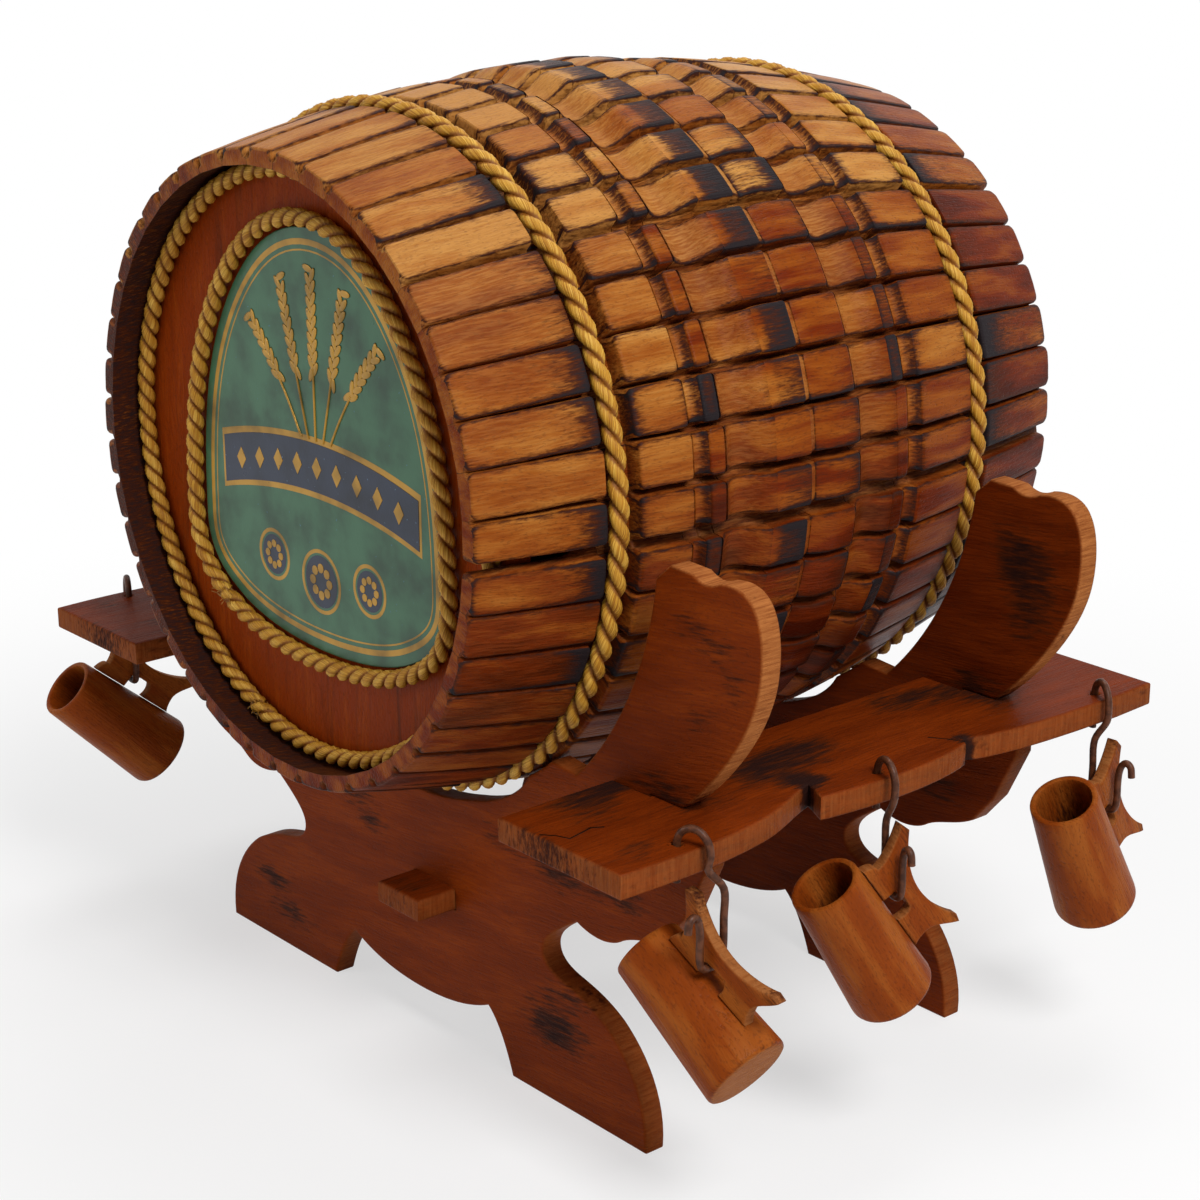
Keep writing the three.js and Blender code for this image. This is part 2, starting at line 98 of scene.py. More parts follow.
class Graph:
    """Adds nodes to a node tree and joins them."""

    def __init__(self, tree: Tree) -> None:
        """Keeps the tree that nodes go into."""
        self.tree = tree

    def feed(self, socket: Socket, value: Any) -> None:
        """Links another socket into this one, or sets its value.

        Args:
            socket: An input of a node.
            value: The other socket, or the value.
        """
        if isinstance(value, Socket):
            self.tree.links.new(value, socket)
        else:
            socket.default_value = value

    def node(self, kind: str, inputs: dict[Any, Any] | None = None, **settings: Any) -> Node:
        """Adds one node.

        Args:
            kind: Blender's name for the node type.
            inputs: Input name or number to a value or a socket.
            settings: Properties of the node, set before its inputs.
        Returns:
            The new node.
        """
        made = self.tree.nodes.new(kind)
        for key, value in settings.items():
            setattr(made, key, value)
        self.fill(made, inputs or {})
        return made

    def fill(self, node: Node, inputs: dict[Any, Any]) -> None:
        """Feeds inputs of a node, by name or number."""
        for key, value in inputs.items():
            self.feed(node.inputs[key], value)

    def first(self, kind: str, inputs: dict[Any, Any] | None = None, **settings: Any) -> Socket:
        """The first output of a new node."""
        return self.node(kind, inputs, **settings).outputs[0]

    def math(self, operation: str, *values: Any) -> Socket:
        """The result of one Math node."""
        return self.first("ShaderNodeMath", dict(enumerate(values)), operation=operation)

    def times(self, first: Any, second: Any) -> Socket:
        """The product of two numbers."""
        return self.math("MULTIPLY", first, second)

    def tied(self, value: Any, factor: Any, more: Any) -> Socket:
        """A value times a factor, plus more."""
        return self.math("MULTIPLY_ADD", value, factor, more)

    def vector(self, operation: str, *values: Any) -> Socket:
        """The vector from one Vector Math node."""
        return self.first("ShaderNodeVectorMath", dict(enumerate(values)), operation=operation)

    def scaled(self, vector: Any, factor: Any) -> Socket:
        """A vector times a number."""
        return self.first("ShaderNodeVectorMath", {0: vector, "Scale": factor}, operation="SCALE")

    def mix(self, factor: Any, first: Any, second: Any) -> Socket:
        """A mix of two colours."""
        inputs = {0: factor, 6: first, 7: second}
        return self.node("ShaderNodeMix", inputs, data_type="RGBA").outputs[2]

    def span(self, value: Any, low: Any, high: Any) -> Socket:
        """Zero at low and one at high, with a smooth step between them."""
        inputs = {"Value": value, "From Min": low, "From Max": high}
        return self.first("ShaderNodeMapRange", inputs, interpolation_type="SMOOTHSTEP")

    def noise(self, vector: Any, scale: Any, detail: float = 2.0, roughness: float = 0.5) -> Socket:
        """The value of a Noise Texture node."""
        inputs = {"Vector": vector, "Scale": scale, "Detail": detail, "Roughness": roughness}
        return self.first("ShaderNodeTexNoise", inputs)

    def ramp(self, value: Any, colours: Sequence[Colour]) -> Socket:
        """Takes a colour from a ramp whose stops are evenly spaced.

        Args:
            value: Place on the ramp, from 0 to 1.
            colours: The stops, as seen on a screen.
        Returns:
            The colour.
        """
        made = self.node("ShaderNodeValToRGB", {0: value})
        stops = made.color_ramp.elements
        while len(stops) < len(colours):
            stops.new(0.5)
        for number, colour in enumerate(colours):
            stops[number].position = number / (len(colours) - 1)
            stops[number].color = paint(colour)
        return made.outputs[0]

    def mark(self, name: str) -> Node:
        """An Attribute node for a mark that the meshes carry."""
        return self.node("ShaderNodeAttribute", attribute_name=name)

    def place(self) -> Socket:
        """Object coordinates in millimetres."""
        return self.scaled(self.node("ShaderNodeTexCoord").outputs["Object"], 1.0 / MM)

    def bump(self, shader: Node, height: Any, strength: float, distance: float) -> None:
        """Feeds the normal of a shader from a height that is worth a distance in millimetres."""
        inputs = {"Height": height, "Strength": strength, "Distance": distance * MM}
        self.feed(shader.inputs["Normal"], self.first("ShaderNodeBump", inputs))


def start_group(name: str, inputs: dict[str, str], outputs: Sequence[str]) -> tuple[Graph, Any, Any]:
    """Starts a group.

    Args:
        name: Name of the group.
        inputs: Input names to socket types.
        outputs: Names of the outputs, which are all numbers.
    Returns:
        The graph, the outputs of its input node and the inputs of its output node.
    """
    tree = bpy.data.node_groups.new(name, "ShaderNodeTree")
    for label, kind in inputs.items():
        tree.interface.new_socket(name=label, in_out="INPUT", socket_type=kind)
    for label in outputs:
        tree.interface.new_socket(name=label, in_out="OUTPUT", socket_type="NodeSocketFloat")
    graph = Graph(tree)
    given = graph.node("NodeGroupInput").outputs
    made = graph.node("NodeGroupOutput").inputs
    return graph, given, made


def grain_group() -> Tree:
    """Clouds, fibres, flecks and streaks of wood whose grain runs along the first coordinate.

    Returns:
        The group.
    """
    outputs = ("Figure", "Fibre", "Fleck", "Streak")
    graph, given, made = start_group("wood_grain", {"Position": "NodeSocketVector"}, outputs)
    inputs = {"Vector": given["Position"], "Scale": 0.02, "Detail": 1.0, "Roughness": 0.5}
    sway = graph.scaled(graph.node("ShaderNodeTexNoise", inputs).outputs[1], 6.0)
    place = graph.vector("ADD", given["Position"], sway)
    for name, stretch, detail, roughness, limits in (
        ("Figure", (0.018, 0.11, 0.08), 2.0, 0.5, (0.3, 0.7)),
        ("Fibre", (0.07, 1.2, 0.4), 2.0, 0.6, (0.25, 0.75)),
        ("Fleck", (0.5, 1.6, 0.7), 1.0, 0.5, (0.55, 0.7)),
        ("Streak", (0.011, 0.13, 0.1), 3.0, 0.6, (0.56, 0.74)),
    ):
        value = graph.noise(graph.vector("MULTIPLY", place, stretch), 1.0, detail, roughness)
        graph.feed(made[name], graph.span(value, *limits))
    return graph.tree


def scorch_group() -> Tree:
    """A burnt mask with feathered strokes along the grain, from none at amount 0 to all at amount 1; where
    the amount is painted shade, the mask paints shade too.

    Returns:
        The group.
    """
    inputs = {"Position": "NodeSocketVector", "Amount": "NodeSocketFloat", "Strokes": "NodeSocketFloat"}
    graph, given, made = start_group("scorch", inputs, ("Burnt", "Brown"))
    drawn = graph.vector("MULTIPLY", given["Position"], (0.14, 1.0, 0.4))
    brush = graph.noise(drawn, 1.2, 3.0, 0.65)
    spread = graph.math("SUBTRACT", brush, 0.5)
    level = graph.tied(spread, given["Strokes"], given["Amount"])
    graph.feed(made["Burnt"], graph.span(level, 0.4, 0.9))
    graph.feed(made["Brown"], graph.span(level, 0.1, 0.6))
    return graph.tree


def saw_group() -> Tree:
    """Marks that a saw leaves across a cut edge, along the third coordinate.

    Returns:
        The group.
    """
    graph, given, made = start_group("saw_marks", {"Position": "NodeSocketVector"}, ("Mark",))
    drawn = graph.vector("MULTIPLY", given["Position"], (1.0, 1.0, 0.07))
    graph.feed(made["Mark"], graph.noise(drawn, 0.9, 4.0, 0.7))
    return graph.tree


class Effects:
    """Shader groups that several finishes share, each built once."""

    def __init__(self) -> None:
        """Builds the groups."""
        self.grain = grain_group()
        self.scorch = scorch_group()
        self.saw = saw_group()


class GrainSource(Enum):
    """Where a wood finish reads the run of its grain."""

    MESH = "the mark on the mesh"
    UPRIGHT = "upright, for boards that are solids of the frame"


def new_material(name: str) -> tuple[Material, Graph, Node]:
    """Starts a material with one Principled shader.

    Args:
        name: Name of the material.
    Returns:
        The material, its graph and its shader node.
    """
    material = bpy.data.materials.new(name)
    material.use_nodes = True
    material.node_tree.nodes.clear()
    graph = Graph(material.node_tree)
    shader = graph.node("ShaderNodeBsdfPrincipled")
    graph.node("ShaderNodeOutputMaterial", {"Surface": shader.outputs[0]})
    return material, graph, shader


@dataclass(frozen=True)
class WoodFinish:
    """Varnished wood with grain, sawn edges and burnt strokes; its burnt colours also lay painted shade, and
    its sawn colours some painted sheen.
    """

    name: str
    tones: tuple[Colour, ...]
    sawn: tuple[Colour, ...]
    brown: Colour = (70, 30, 12)
    burnt: Colour = (36, 30, 32)
    figure: float = 0.3
    fibre: float = 0.12
    fleck: float = 0.3
    streaks: float = 0.0
    stroke_scale: float = 1.0
    strokes: float = 1.1
    roughness: float = 0.4
    gloss: float = 0.2
    marks: float = 1.0
    relief: float = 0.35
    sawn_rough: float = 0.22
    burnt_rough: float = 0.1
    fibre_rough: float = 0.1
    fleck_depth: float = 0.8
    burnt_depth: float = 0.7
    mark_height: float = 5.0
    source: GrainSource = GrainSource.MESH

    def material(self, effects: Effects) -> Material:
        """Builds the material.

        Args:
            effects: The shared shader groups.
        Returns:
            The finished material.
        """
        material, graph, shader = new_material(self.name)
        place = self._place(graph)
        grain = graph.node("ShaderNodeGroup", {"Position": place}, node_tree=effects.grain).outputs
        saw = graph.node("ShaderNodeGroup", {"Position": place}, node_tree=effects.saw).outputs["Mark"]
        inputs = {"Position": graph.scaled(place, self.stroke_scale), "Strokes": self.strokes}
        inputs["Amount"] = graph.mark("char").outputs["Fac"]
        scorch = graph.node("ShaderNodeGroup", inputs, node_tree=effects.scorch).outputs
        cut = graph.mark("sawn").outputs["Fac"]
        tone = graph.math("ADD", graph.mark("tone").outputs["Fac"], -0.5 * (self.figure + self.fibre))
        tone = graph.tied(grain["Figure"], self.figure, tone)
        tone = graph.tied(grain["Fibre"], self.fibre, tone)
        colour = graph.ramp(tone, self.tones)
        colour = graph.mix(graph.times(grain["Fleck"], self.fleck), colour, paint(self.brown))
        colour = graph.mix(graph.times(grain["Streak"], self.streaks), colour, paint(self.brown))
        coarse = graph.math("SUBTRACT", saw, grain["Fibre"])
        saw = graph.tied(coarse, self.marks, grain["Fibre"])
        sawn = graph.ramp(graph.span(saw, 0.2, 0.8), self.sawn)
        colour = graph.mix(cut, colour, sawn)
        colour = graph.mix(scorch["Brown"], colour, paint(self.brown))
        colour = graph.mix(scorch["Burnt"], colour, paint(self.burnt))
        rough = graph.tied(cut, self.sawn_rough, self.roughness)
        rough = graph.tied(scorch["Burnt"], self.burnt_rough, rough)
        rough = graph.tied(grain["Fibre"], self.fibre_rough, rough)
        graph.fill(shader, {"Base Color": colour, "Roughness": rough, "Specular IOR Level": self.gloss})
        height = graph.tied(grain["Fleck"], -self.fleck_depth, grain["Fibre"])
        height = graph.tied(scorch["Burnt"], -self.burnt_depth, height)
        marks = graph.times(graph.times(saw, cut), self.mark_height * self.marks)
        height = graph.math("ADD", height, marks)
        graph.bump(shader, height, self.relief, 0.4)
        return material

    def _place(self, graph: Graph) -> Socket:
        """Finds the coordinate whose first number runs along the grain.

        Args:
            graph: Graph of the material.
        Returns:
            The coordinate in millimetres.
        """
        if self.source is GrainSource.MESH:
            return graph.mark("grain").outputs["Vector"]
        parts = graph.node("ShaderNodeSeparateXYZ", {0: graph.place()}).outputs
        return graph.first("ShaderNodeCombineXYZ", {0: parts[2], 1: parts[0], 2: parts[1]})


@dataclass(frozen=True)
class RopeFinish:
    """Satin yarn, with fine threads along each strand and painted shade in the crevices between strands."""

    name: str = "gold_rope"
    shades: tuple[Colour, ...] = ((136, 80, 10), (188, 132, 32), (228, 184, 84))
    # Colour of the crevices between strands: painted shade.
    hollow: Colour = (128, 74, 12)
    gloss: float = 0.3

    def material(self) -> Material:
        """Builds the material.

        Returns:
            The finished material.
        """
        material, graph, shader = new_material(self.name)
        parts = graph.node("ShaderNodeSeparateXYZ", {0: graph.mark("round").outputs["Vector"]}).outputs
        along = graph.times(graph.mark("along").outputs["Fac"], 0.1)
        run = graph.tied(graph.mark("strand").outputs["Fac"], 37.0, along)
        place = graph.first("ShaderNodeCombineXYZ", {0: parts[0], 1: parts[1], 2: run})
        thread = graph.noise(graph.vector("MULTIPLY", place, (6.5, 6.5, 0.6)), 1.0, 3.0, 0.6)
        patch = graph.noise(graph.vector("MULTIPLY", place, (0.8, 0.8, 0.5)), 1.0, 1.0)
        tone = graph.tied(patch, 0.4, graph.math("SUBTRACT", thread, 0.2))
        colour = graph.ramp(graph.span(tone, 0.2, 0.8), self.shades)
        # Painted shade in the crevices, from the distance to the rope's axis.
        crest_unshaded = graph.span(graph.mark("reach").outputs["Fac"], 0.62, 0.84)
        colour = graph.mix(crest_unshaded, paint(self.hollow), colour)
        rough = graph.tied(thread, -0.2, 0.62)
        graph.fill(shader, {"Base Color": colour, "Roughness": rough, "Specular IOR Level": self.gloss})
        graph.bump(shader, thread, 0.6, 0.5)
        return material


@dataclass(frozen=True)
class PrintFinish:
    """A glossy printed colour with small worn specks and a little grime."""

    name: str
    ink: Colour
    worn: Colour
    metal: float = 0.0
    gloss: float = 0.35

    def material(self) -> Material:
        """Builds the material.

        Returns:
            The finished material.
        """
        material, graph, shader = new_material(self.name)
        place = graph.place()
        cloud = graph.noise(place, 0.05, 3.0)
        speck = graph.noise(place, 0.55, 2.0)
        dirt = tuple(0.62 * value for value in self.ink)
        colour = graph.mix(graph.span(cloud, 0.35, 0.75), paint(self.ink), paint(dirt))
        worn = graph.span(speck, 0.7, 0.76)
        colour = graph.mix(graph.times(worn, 0.8), colour, paint(self.worn))
        rough = graph.tied(cloud, 0.25, 0.2)
        graph.fill(shader, {"Base Color": colour, "Roughness": rough, "Specular IOR Level": self.gloss})
        graph.fill(shader, {"Metallic": self.metal})
        ripple = graph.noise(place, 0.9, 2.0)
        graph.bump(shader, ripple, 0.12, 0.3)
        return material


@dataclass(frozen=True)
class WireFinish:
    """Lacquered steel wire, copper brown and worn."""

    name: str = "copper_brown_wire"
    dark: Colour = (64, 34, 20)
    bright: Colour = (98, 56, 34)
    gloss: float = 0.2

    def material(self) -> Material:
        """Builds the material.

        Returns:
            The finished material.
        """
        material, graph, shader = new_material(self.name)
        place = graph.place()
        wear = graph.span(graph.noise(place, 0.35, 4.0, 0.6), 0.35, 0.65)
        colour = graph.mix(wear, paint(self.dark), paint(self.bright))
        rough = graph.tied(wear, -0.18, 0.5)
        graph.fill(shader, {"Base Color": colour, "Roughness": rough, "Specular IOR Level": self.gloss})
        graph.bump(shader, wear, 0.15, 0.2)
        return material


class Sketch:
    """An outline drawn in a plane, in millimetres."""

    def __init__(self, x: float, y: float) -> None:
        """Starts at a point."""
        self.points: list[Pair] = [(x, y)]

    def line(self, x: float, y: float, step: float = 5.0) -> "Sketch":
        """Draws a straight line in short steps.

        Args:
            x: First coordinate of its end.
            y: Second coordinate of its end.
            step: Length of a step.
        Returns:
            The sketch itself.
        """
        x0, y0 = self.points[-1]
        count = max(1, round(math.hypot(x - x0, y - y0) / step))
        self.points += [(blend(x0, x, i / count), blend(y0, y, i / count)) for i in range(1, count + 1)]
        return self

    def curve(self, *values: float, steps: int = 12) -> "Sketch":
        """Draws a Bezier curve.

        Args:
            values: One or two control points and then the end, as x and y.
            steps: Number of straight pieces.
        Returns:
            The sketch itself.
        """
        ends = [self.points[-1], *zip(values[0::2], values[1::2])]
        for i in range(1, steps + 1):
            row, part = ends, i / steps
            while len(row) > 1:
                row = [(blend(a[0], b[0], part), blend(a[1], b[1], part)) for a, b in zip(row, row[1:])]
            self.points.append(row[0])
        return self

    def arc(self, centre: Pair, radius: float, start: float, end: float, steps: int = 12) -> "Sketch":
        """Draws part of a circle.

        Args:
            centre: Centre of the circle.
            radius: Its radius.
            start: Angle at the start, in degrees.
            end: Angle at the end, in degrees.
            steps: Number of straight pieces.
        Returns:
            The sketch itself.
        """
        for i in range(1, steps + 1):
            angle = math.radians(blend(start, end, i / steps))
            self.points.append((centre[0] + radius * math.cos(angle), centre[1] + radius * math.sin(angle)))
        return self

    def closed_by_mirror(self) -> list[Pair]:
        """The outline with its mirror image across the first axis, as one loop."""
        return self.points + [(-x, y) for x, y in reversed(self.points[1:-1])]


def ring_of(centre: Pair, radius: float, count: int = 12) -> list[Pair]:
    """Points on a circle."""
    turns = [math.tau * i / count for i in range(count)]
    return [(centre[0] + radius * math.cos(t), centre[1] + radius * math.sin(t)) for t in turns]


def wound(loop: Sequence[Pair], left: bool) -> list[Pair]:
    """The loop turned so that it runs to the left, or to the right, round its inside."""
    area = sum(a[0] * b[1] - b[0] * a[1] for a, b in zip(loop, [*loop[1:], loop[0]]))
    return list(loop) if (area > 0) == left else list(reversed(loop))


def lies_in(spot: Vector, loop: Sequence[Pair]) -> bool:
    """Whether a point lies inside a loop, told by the edges that lie to its right."""
    crossed = [
        spot.x < x0 + (x1 - x0) * (spot.y - y0) / (y1 - y0)
        for (x0, y0), (x1, y1) in zip(loop, [*loop[1:], loop[0]])
        if (y0 > spot.y) != (y1 > spot.y)
    ]
    return sum(crossed) % 2 == 1


def moved_in(loop: Sequence[Pair], inset: float) -> list[Pair]:
    """Moves each point of a loop to its left by an inset, with blunt corners.

    Args:
        loop: Points of a closed outline.
        inset: Distance in millimetres.
    Returns:
        The moved points.
    """
    made = []
    for number, (x, y) in enumerate(loop):
        before = Vector((x, y)) - Vector(loop[number - 1])
        after = Vector(loop[(number + 1) % len(loop)]) - Vector((x, y))
        first = Vector((-before.y, before.x)).normalized()
        second = Vector((-after.y, after.x)).normalized()
        turn = (first + second) / max(0.45, 1.0 + first.dot(second))
        made.append((x + turn.x * inset, y + turn.y * inset))
    return made


@dataclass
class Draft:
    """A mesh being drawn, in millimetres, with the marks that wood finishes read."""

    points: list[Vector] = field(default_factory=list)
    faces: list[tuple[int, ...]] = field(default_factory=list)
    grain: list[Vector] = field(default_factory=list)
    marks: dict[str, list[float]] = field(default_factory=lambda: {"tone": [], "char": [], "sawn": []})

    def add(
        self, point: Vector, grain: Vector, tone: float = 0.5, char: float = 0.0, sawn: float = 0.0
    ) -> int:
        """Adds a point with its marks.

        Args:
            point: The point.
            grain: Its place in the wood, with the grain along the first number.
            tone: How light the wood is, with painted light and shade on the staves and the rear trestle.
            char: How burnt it is, and in deep or inner places how dark it is as painted shade.
            sawn: How much sawn or sanding colour it shows, which on upper staves and block tops is partly
                painted sheen.
        Returns:
            The number of the point.
        """
        self.points.append(point)
        self.grain.append(grain)
        for name, value in (("tone", tone), ("char", char), ("sawn", sawn)):
            self.marks[name].append(value)
        return len(self.points) - 1

    def skin(self, rows: Sequence[Sequence[int]]) -> None:
        """Joins rows of points with quads.

        Args:
            rows: Rows of point numbers, all as long and closed on themselves.
        """
        size = len(rows[0])
        for low, high in zip(rows, rows[1:]):
            for i in range(size):
                j = (i + 1) % size
                self.faces.append((low[i], low[j], high[j], high[i]))

    def piece(self, name: str, material: Material, sharp: float = 50.0) -> Piece:
        """Makes the object.

        Args:
            name: Name of the piece.
            material: Its finish.
            sharp: Angle in degrees above which an edge stays crisp.
        Returns:
            The object, at the origin.
        """
        mesh = bpy.data.meshes.new(name)
        mesh.from_pydata([point * MM for point in self.points], [], self.faces)
        work = bmesh.new()
        work.from_mesh(mesh)
        bmesh.ops.recalc_face_normals(work, faces=work.faces)
        work.to_mesh(mesh)
        work.free()
        layer = mesh.attributes.new("grain", "FLOAT_VECTOR", "POINT")
        layer.data.foreach_set("vector", [value for point in self.grain for value in point])
        for mark, values in self.marks.items():
            mesh.attributes.new(mark, "FLOAT", "POINT").data.foreach_set("value", values)
        mesh.shade_smooth()
        mesh.set_sharp_from_angle(angle=math.radians(sharp))
        mesh.materials.append(material)
        return put(name, mesh)


Placer = Callable[[float, float, float], Vector]
Amount = Callable[[float, float], float]


@dataclass
class Board:
    """A flat board cut from an outline, with softly rounded rims."""

    outline: Sequence[Pair]
    thickness: float
    place: Placer
    grain: Placer
    holes: Sequence[Sequence[Pair]] = ()
    rounding: float = 0.9
    grid: float = 6.0
    unevenness: float = 0.12
    wave_length: float = 24.0
    tone: float = 0.5
    char: Amount = lambda x, y: 0.0
    edge: Amount = lambda x, y: 1.0

    def draw(self, draft: Draft) -> None:
        """Adds the board to a draft.

        Args:
            draft: The mesh being drawn.
        """
        half = self.thickness / 2
        soft = self.rounding
        rim = soft * 0.7
        levels = [(half, soft + rim, 0.0), (half, soft, 0.0)]
        levels += [(half - 0.3 * soft, 0.3 * soft, 0.5), (half - soft, 0.0, 1.0)]
        levels += [(-height, inset, cut) for height, inset, cut in reversed(levels)]
        loops = [wound(self.outline, True)] + [wound(hole, False) for hole in self.holes]
        top: list[int] = []
        bottom: list[int] = []
        flat: list[Pair] = []
        edges: list[Pair] = []
        for loop in loops:
            rows = []
            for height, inset, cut in levels:
                shape = moved_in(loop, inset)
                rows.append([self._point(draft, x, y, height, cut) for x, y in shape])
            draft.skin(rows)
            start = len(flat)
            flat += moved_in(loop, soft + rim)
            edges += [(start + i, start + (i + 1) % len(loop)) for i in range(len(loop))]
            top += rows[0]
            bottom += rows[-1]
        self._cap(draft, flat, edges, top, bottom)

    def make(self, name: str, material: Material) -> Piece:
        """Makes the board a piece of its own.

        Args:
            name: Name of the piece.
            material: Its finish.
        Returns:
            The piece.
        """
        draft = Draft()
        self.draw(draft)
        return draft.piece(name, material)

    def _point(self, draft: Draft, x: float, y: float, height: float, cut: float) -> int:
        """Adds one point of the board, slightly uneven.

        Args:
            draft: The mesh being drawn.
            x: First coordinate in the outline.
            y: Second coordinate in the outline.
            height: Distance from the middle of the board.
            cut: How far it lies on the sawn edge, from 0 to 1.
        Returns:
            The number of the point.
        """
        wave = noise.noise(Vector((x, y, height * 3.0)) / self.wave_length) * self.unevenness
        lift = wave * (1.0 - cut) * (1 if height > 0 else -1)
        spot = self.place(x + wave * cut, y + wave * cut, height + lift)
        return draft.add(spot, self.grain(x, y, height), self.tone, self.char(x, y), cut * self.edge(x, y))

    def _cap(
        self, draft: Draft, flat: list[Pair], edges: list[Pair], top: list[int], bottom: list[int]
    ) -> None:
        """Fills both faces with triangles.

        Args:
            draft: The mesh being drawn.
            flat: Outline points of a face.
            edges: Pairs of outline point numbers.
            top: The draft's point numbers of the upper outline.
            bottom: The same for the lower outline.
        """
        spots = list(flat)
        if self.grid:
            xs = [x for x, _ in flat]
            ys = [y for _, y in flat]
            across = int((max(xs) - min(xs)) / self.grid)
            up = int((max(ys) - min(ys)) / self.grid)
            for i in range(1, across + 1):
                for j in range(1, up + 1):
                    shift = 0.5 if j % 2 else 0.0
                    spots.append((min(xs) + (i + shift) * self.grid, min(ys) + j * self.grid))
        made = geometry.delaunay_2d_cdt([Vector(spot) for spot in spots], edges, [], 2, 1e-5)
        found, faces, origins = made[0], made[2], made[3]
        numbers: dict[int, tuple[int, int]] = {}
        half = self.thickness / 2
        for face in faces:
            middle = sum((found[corner] for corner in face), Vector((0.0, 0.0))) / len(face)
            if any(lies_in(middle, hole) for hole in self.holes):
                continue
            for corner in face:
                if corner in numbers:
                    continue
                origin = [number for number in origins[corner] if number < len(flat)]
                if origin:
                    numbers[corner] = (top[origin[0]], bottom[origin[0]])
                else:
                    x, y = found[corner]
                    over = self._point(draft, x, y, half, 0.0)
                    numbers[corner] = (over, self._point(draft, x, y, -half, 0.0))
            draft.faces.append(tuple(numbers[corner][0] for corner in face))
            draft.faces.append(tuple(numbers[corner][1] for corner in reversed(face)))


def fit(piece: Piece, body: str, slot: str, *nodes: str) -> None:
    """Puts a piece on its body and hides the solids that it stands for.

    Args:
        piece: The finished piece.
        body: Name of the body that it moves with.
        slot: Not used.
        nodes: Solids that it replaces.
    """
    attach(piece, body)
    if nodes:
        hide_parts(*nodes)
    LOG.info("%s: %d faces on %s", piece.name, len(piece.data.polygons), body)


def start_tree(name: str, inputs: dict[str, str]) -> tuple[Graph, Any]:
    """Starts a tree with a mesh path as its first input.

    Args:
        name: Name of the tree.
        inputs: Names of further inputs to their socket types.
    Returns:
        The graph and the outputs of its input node.
    """
    tree = bpy.data.node_groups.new(name, "GeometryNodeTree")
    tree.interface.new_socket(name="Geometry", in_out="OUTPUT", socket_type="NodeSocketGeometry")
    tree.interface.new_socket(name="Path", in_out="INPUT", socket_type="NodeSocketGeometry")
    for label, kind in inputs.items():
        tree.interface.new_socket(name=label, in_out="INPUT", socket_type=kind)
    graph = Graph(tree)
    return graph, graph.node("NodeGroupInput").outputs


def end_tree(graph: Graph, shape: Socket, material: Socket) -> Tree:
    """Ends a tree with smooth shading, real geometry and its material.

    Args:
        graph: The graph.
        shape: What it has made.
        material: The finish.
    Returns:
        The tree.
    """
    smooth = graph.first("GeometryNodeSetShadeSmooth", {0: shape})
    real = graph.first("GeometryNodeRealizeInstances", {0: smooth})
    done = graph.first("GeometryNodeSetMaterial", {"Geometry": real, "Material": material})
    graph.node("NodeGroupOutput", {0: done})
    return graph.tree


def steps_along(graph: Graph, path: Socket, length: Socket) -> Socket:
    """A mesh path as a curve with points a length apart."""
    curve = graph.first("GeometryNodeMeshToCurve", {0: path})
    return graph.first("GeometryNodeResampleCurve", {0: curve, "Length": length}, mode="LENGTH")


def store_mark(graph: Graph, shape: Any, name: str, value: Any, kind: str = "FLOAT") -> Socket:
    """Stores a named mark on the points of a curve or a mesh."""
    inputs = {0: shape, "Name": name, "Value": value}
    return graph.first("GeometryNodeStoreNamedAttribute", inputs, data_type=kind, domain="POINT")


def rope_tree() -> Tree:
    """Strands laid round a path that lies in a plane across the barrel's axis.

    Returns:
        The tree.
    """
    number = "NodeSocketFloat"
    names = {"Strands": "NodeSocketInt", "Strand Radius": number, "Strand Offset": number}
    names |= {"Turns": number, "Yarn Turns": number, "Step": number, "Material": "NodeSocketMaterial"}
    graph, given = start_tree("rope_strands", names)
    path = steps_along(graph, given["Path"], given["Step"])
    inputs = {0: path, "Amount": given["Strands"]}
    copies = graph.node("GeometryNodeDuplicateElements", inputs, domain="SPLINE")
    strand = copies.outputs["Duplicate Index"]
    along = graph.node("GeometryNodeSplineParameter").outputs
    share = graph.math("DIVIDE", strand, given["Strands"])
    turn = graph.tied(along["Factor"], given["Turns"], share)
    angle = graph.times(turn, math.tau)
    axis = (0.0, 1.0, 0.0)
    side = graph.vector("CROSS_PRODUCT", graph.first("GeometryNodeInputTangent"), axis)
    spread = graph.vector(
        "ADD",
        graph.scaled(axis, graph.math("COSINE", angle)),
        graph.scaled(side, graph.math("SINE", angle)),
    )
    offset = graph.scaled(spread, given["Strand Offset"])
    laid = graph.first("GeometryNodeSetPosition", {0: copies.outputs[0], "Offset": offset})
    run = graph.times(along["Length"], 1.0 / MM)
    laid = store_mark(graph, laid, "along", run)
    laid = store_mark(graph, laid, "strand", strand)
    twist = graph.times(graph.times(along["Factor"], given["Yarn Turns"]), math.tau)
    laid = graph.first("GeometryNodeSetCurveTilt", {0: laid, "Tilt": twist})
    inputs = {"Resolution": 20, "Radius": given["Strand Radius"]}
    profile = graph.first("GeometryNodeCurvePrimitiveCircle", inputs)
    spot = graph.first("GeometryNodeInputPosition")
    unit = graph.vector("NORMALIZE", spot)
    profile = store_mark(graph, profile, "round", unit, "FLOAT_VECTOR")
    lobe = graph.math("COSINE", graph.times(along["Factor"], 7.0 * math.tau))
    bulge = graph.tied(lobe, 0.045, 1.0)
    inputs = {0: profile, "Position": graph.scaled(spot, bulge)}
    profile = graph.first("GeometryNodeSetPosition", inputs)
    inputs = {"Curve": laid, "Profile Curve": profile, "Fill Caps": True}
    rope = graph.first("GeometryNodeCurveToMesh", inputs)
    # The distance from the rope's axis, kept for the painted shade in the crevices.
    near = graph.node("GeometryNodeProximity", {0: given["Path"]}, target_element="EDGES")
    whole = graph.math("ADD", given["Strand Radius"], given["Strand Offset"])
    rope = store_mark(graph, rope, "reach", graph.math("DIVIDE", near.outputs["Distance"], whole))
    return end_tree(graph, rope, given["Material"])


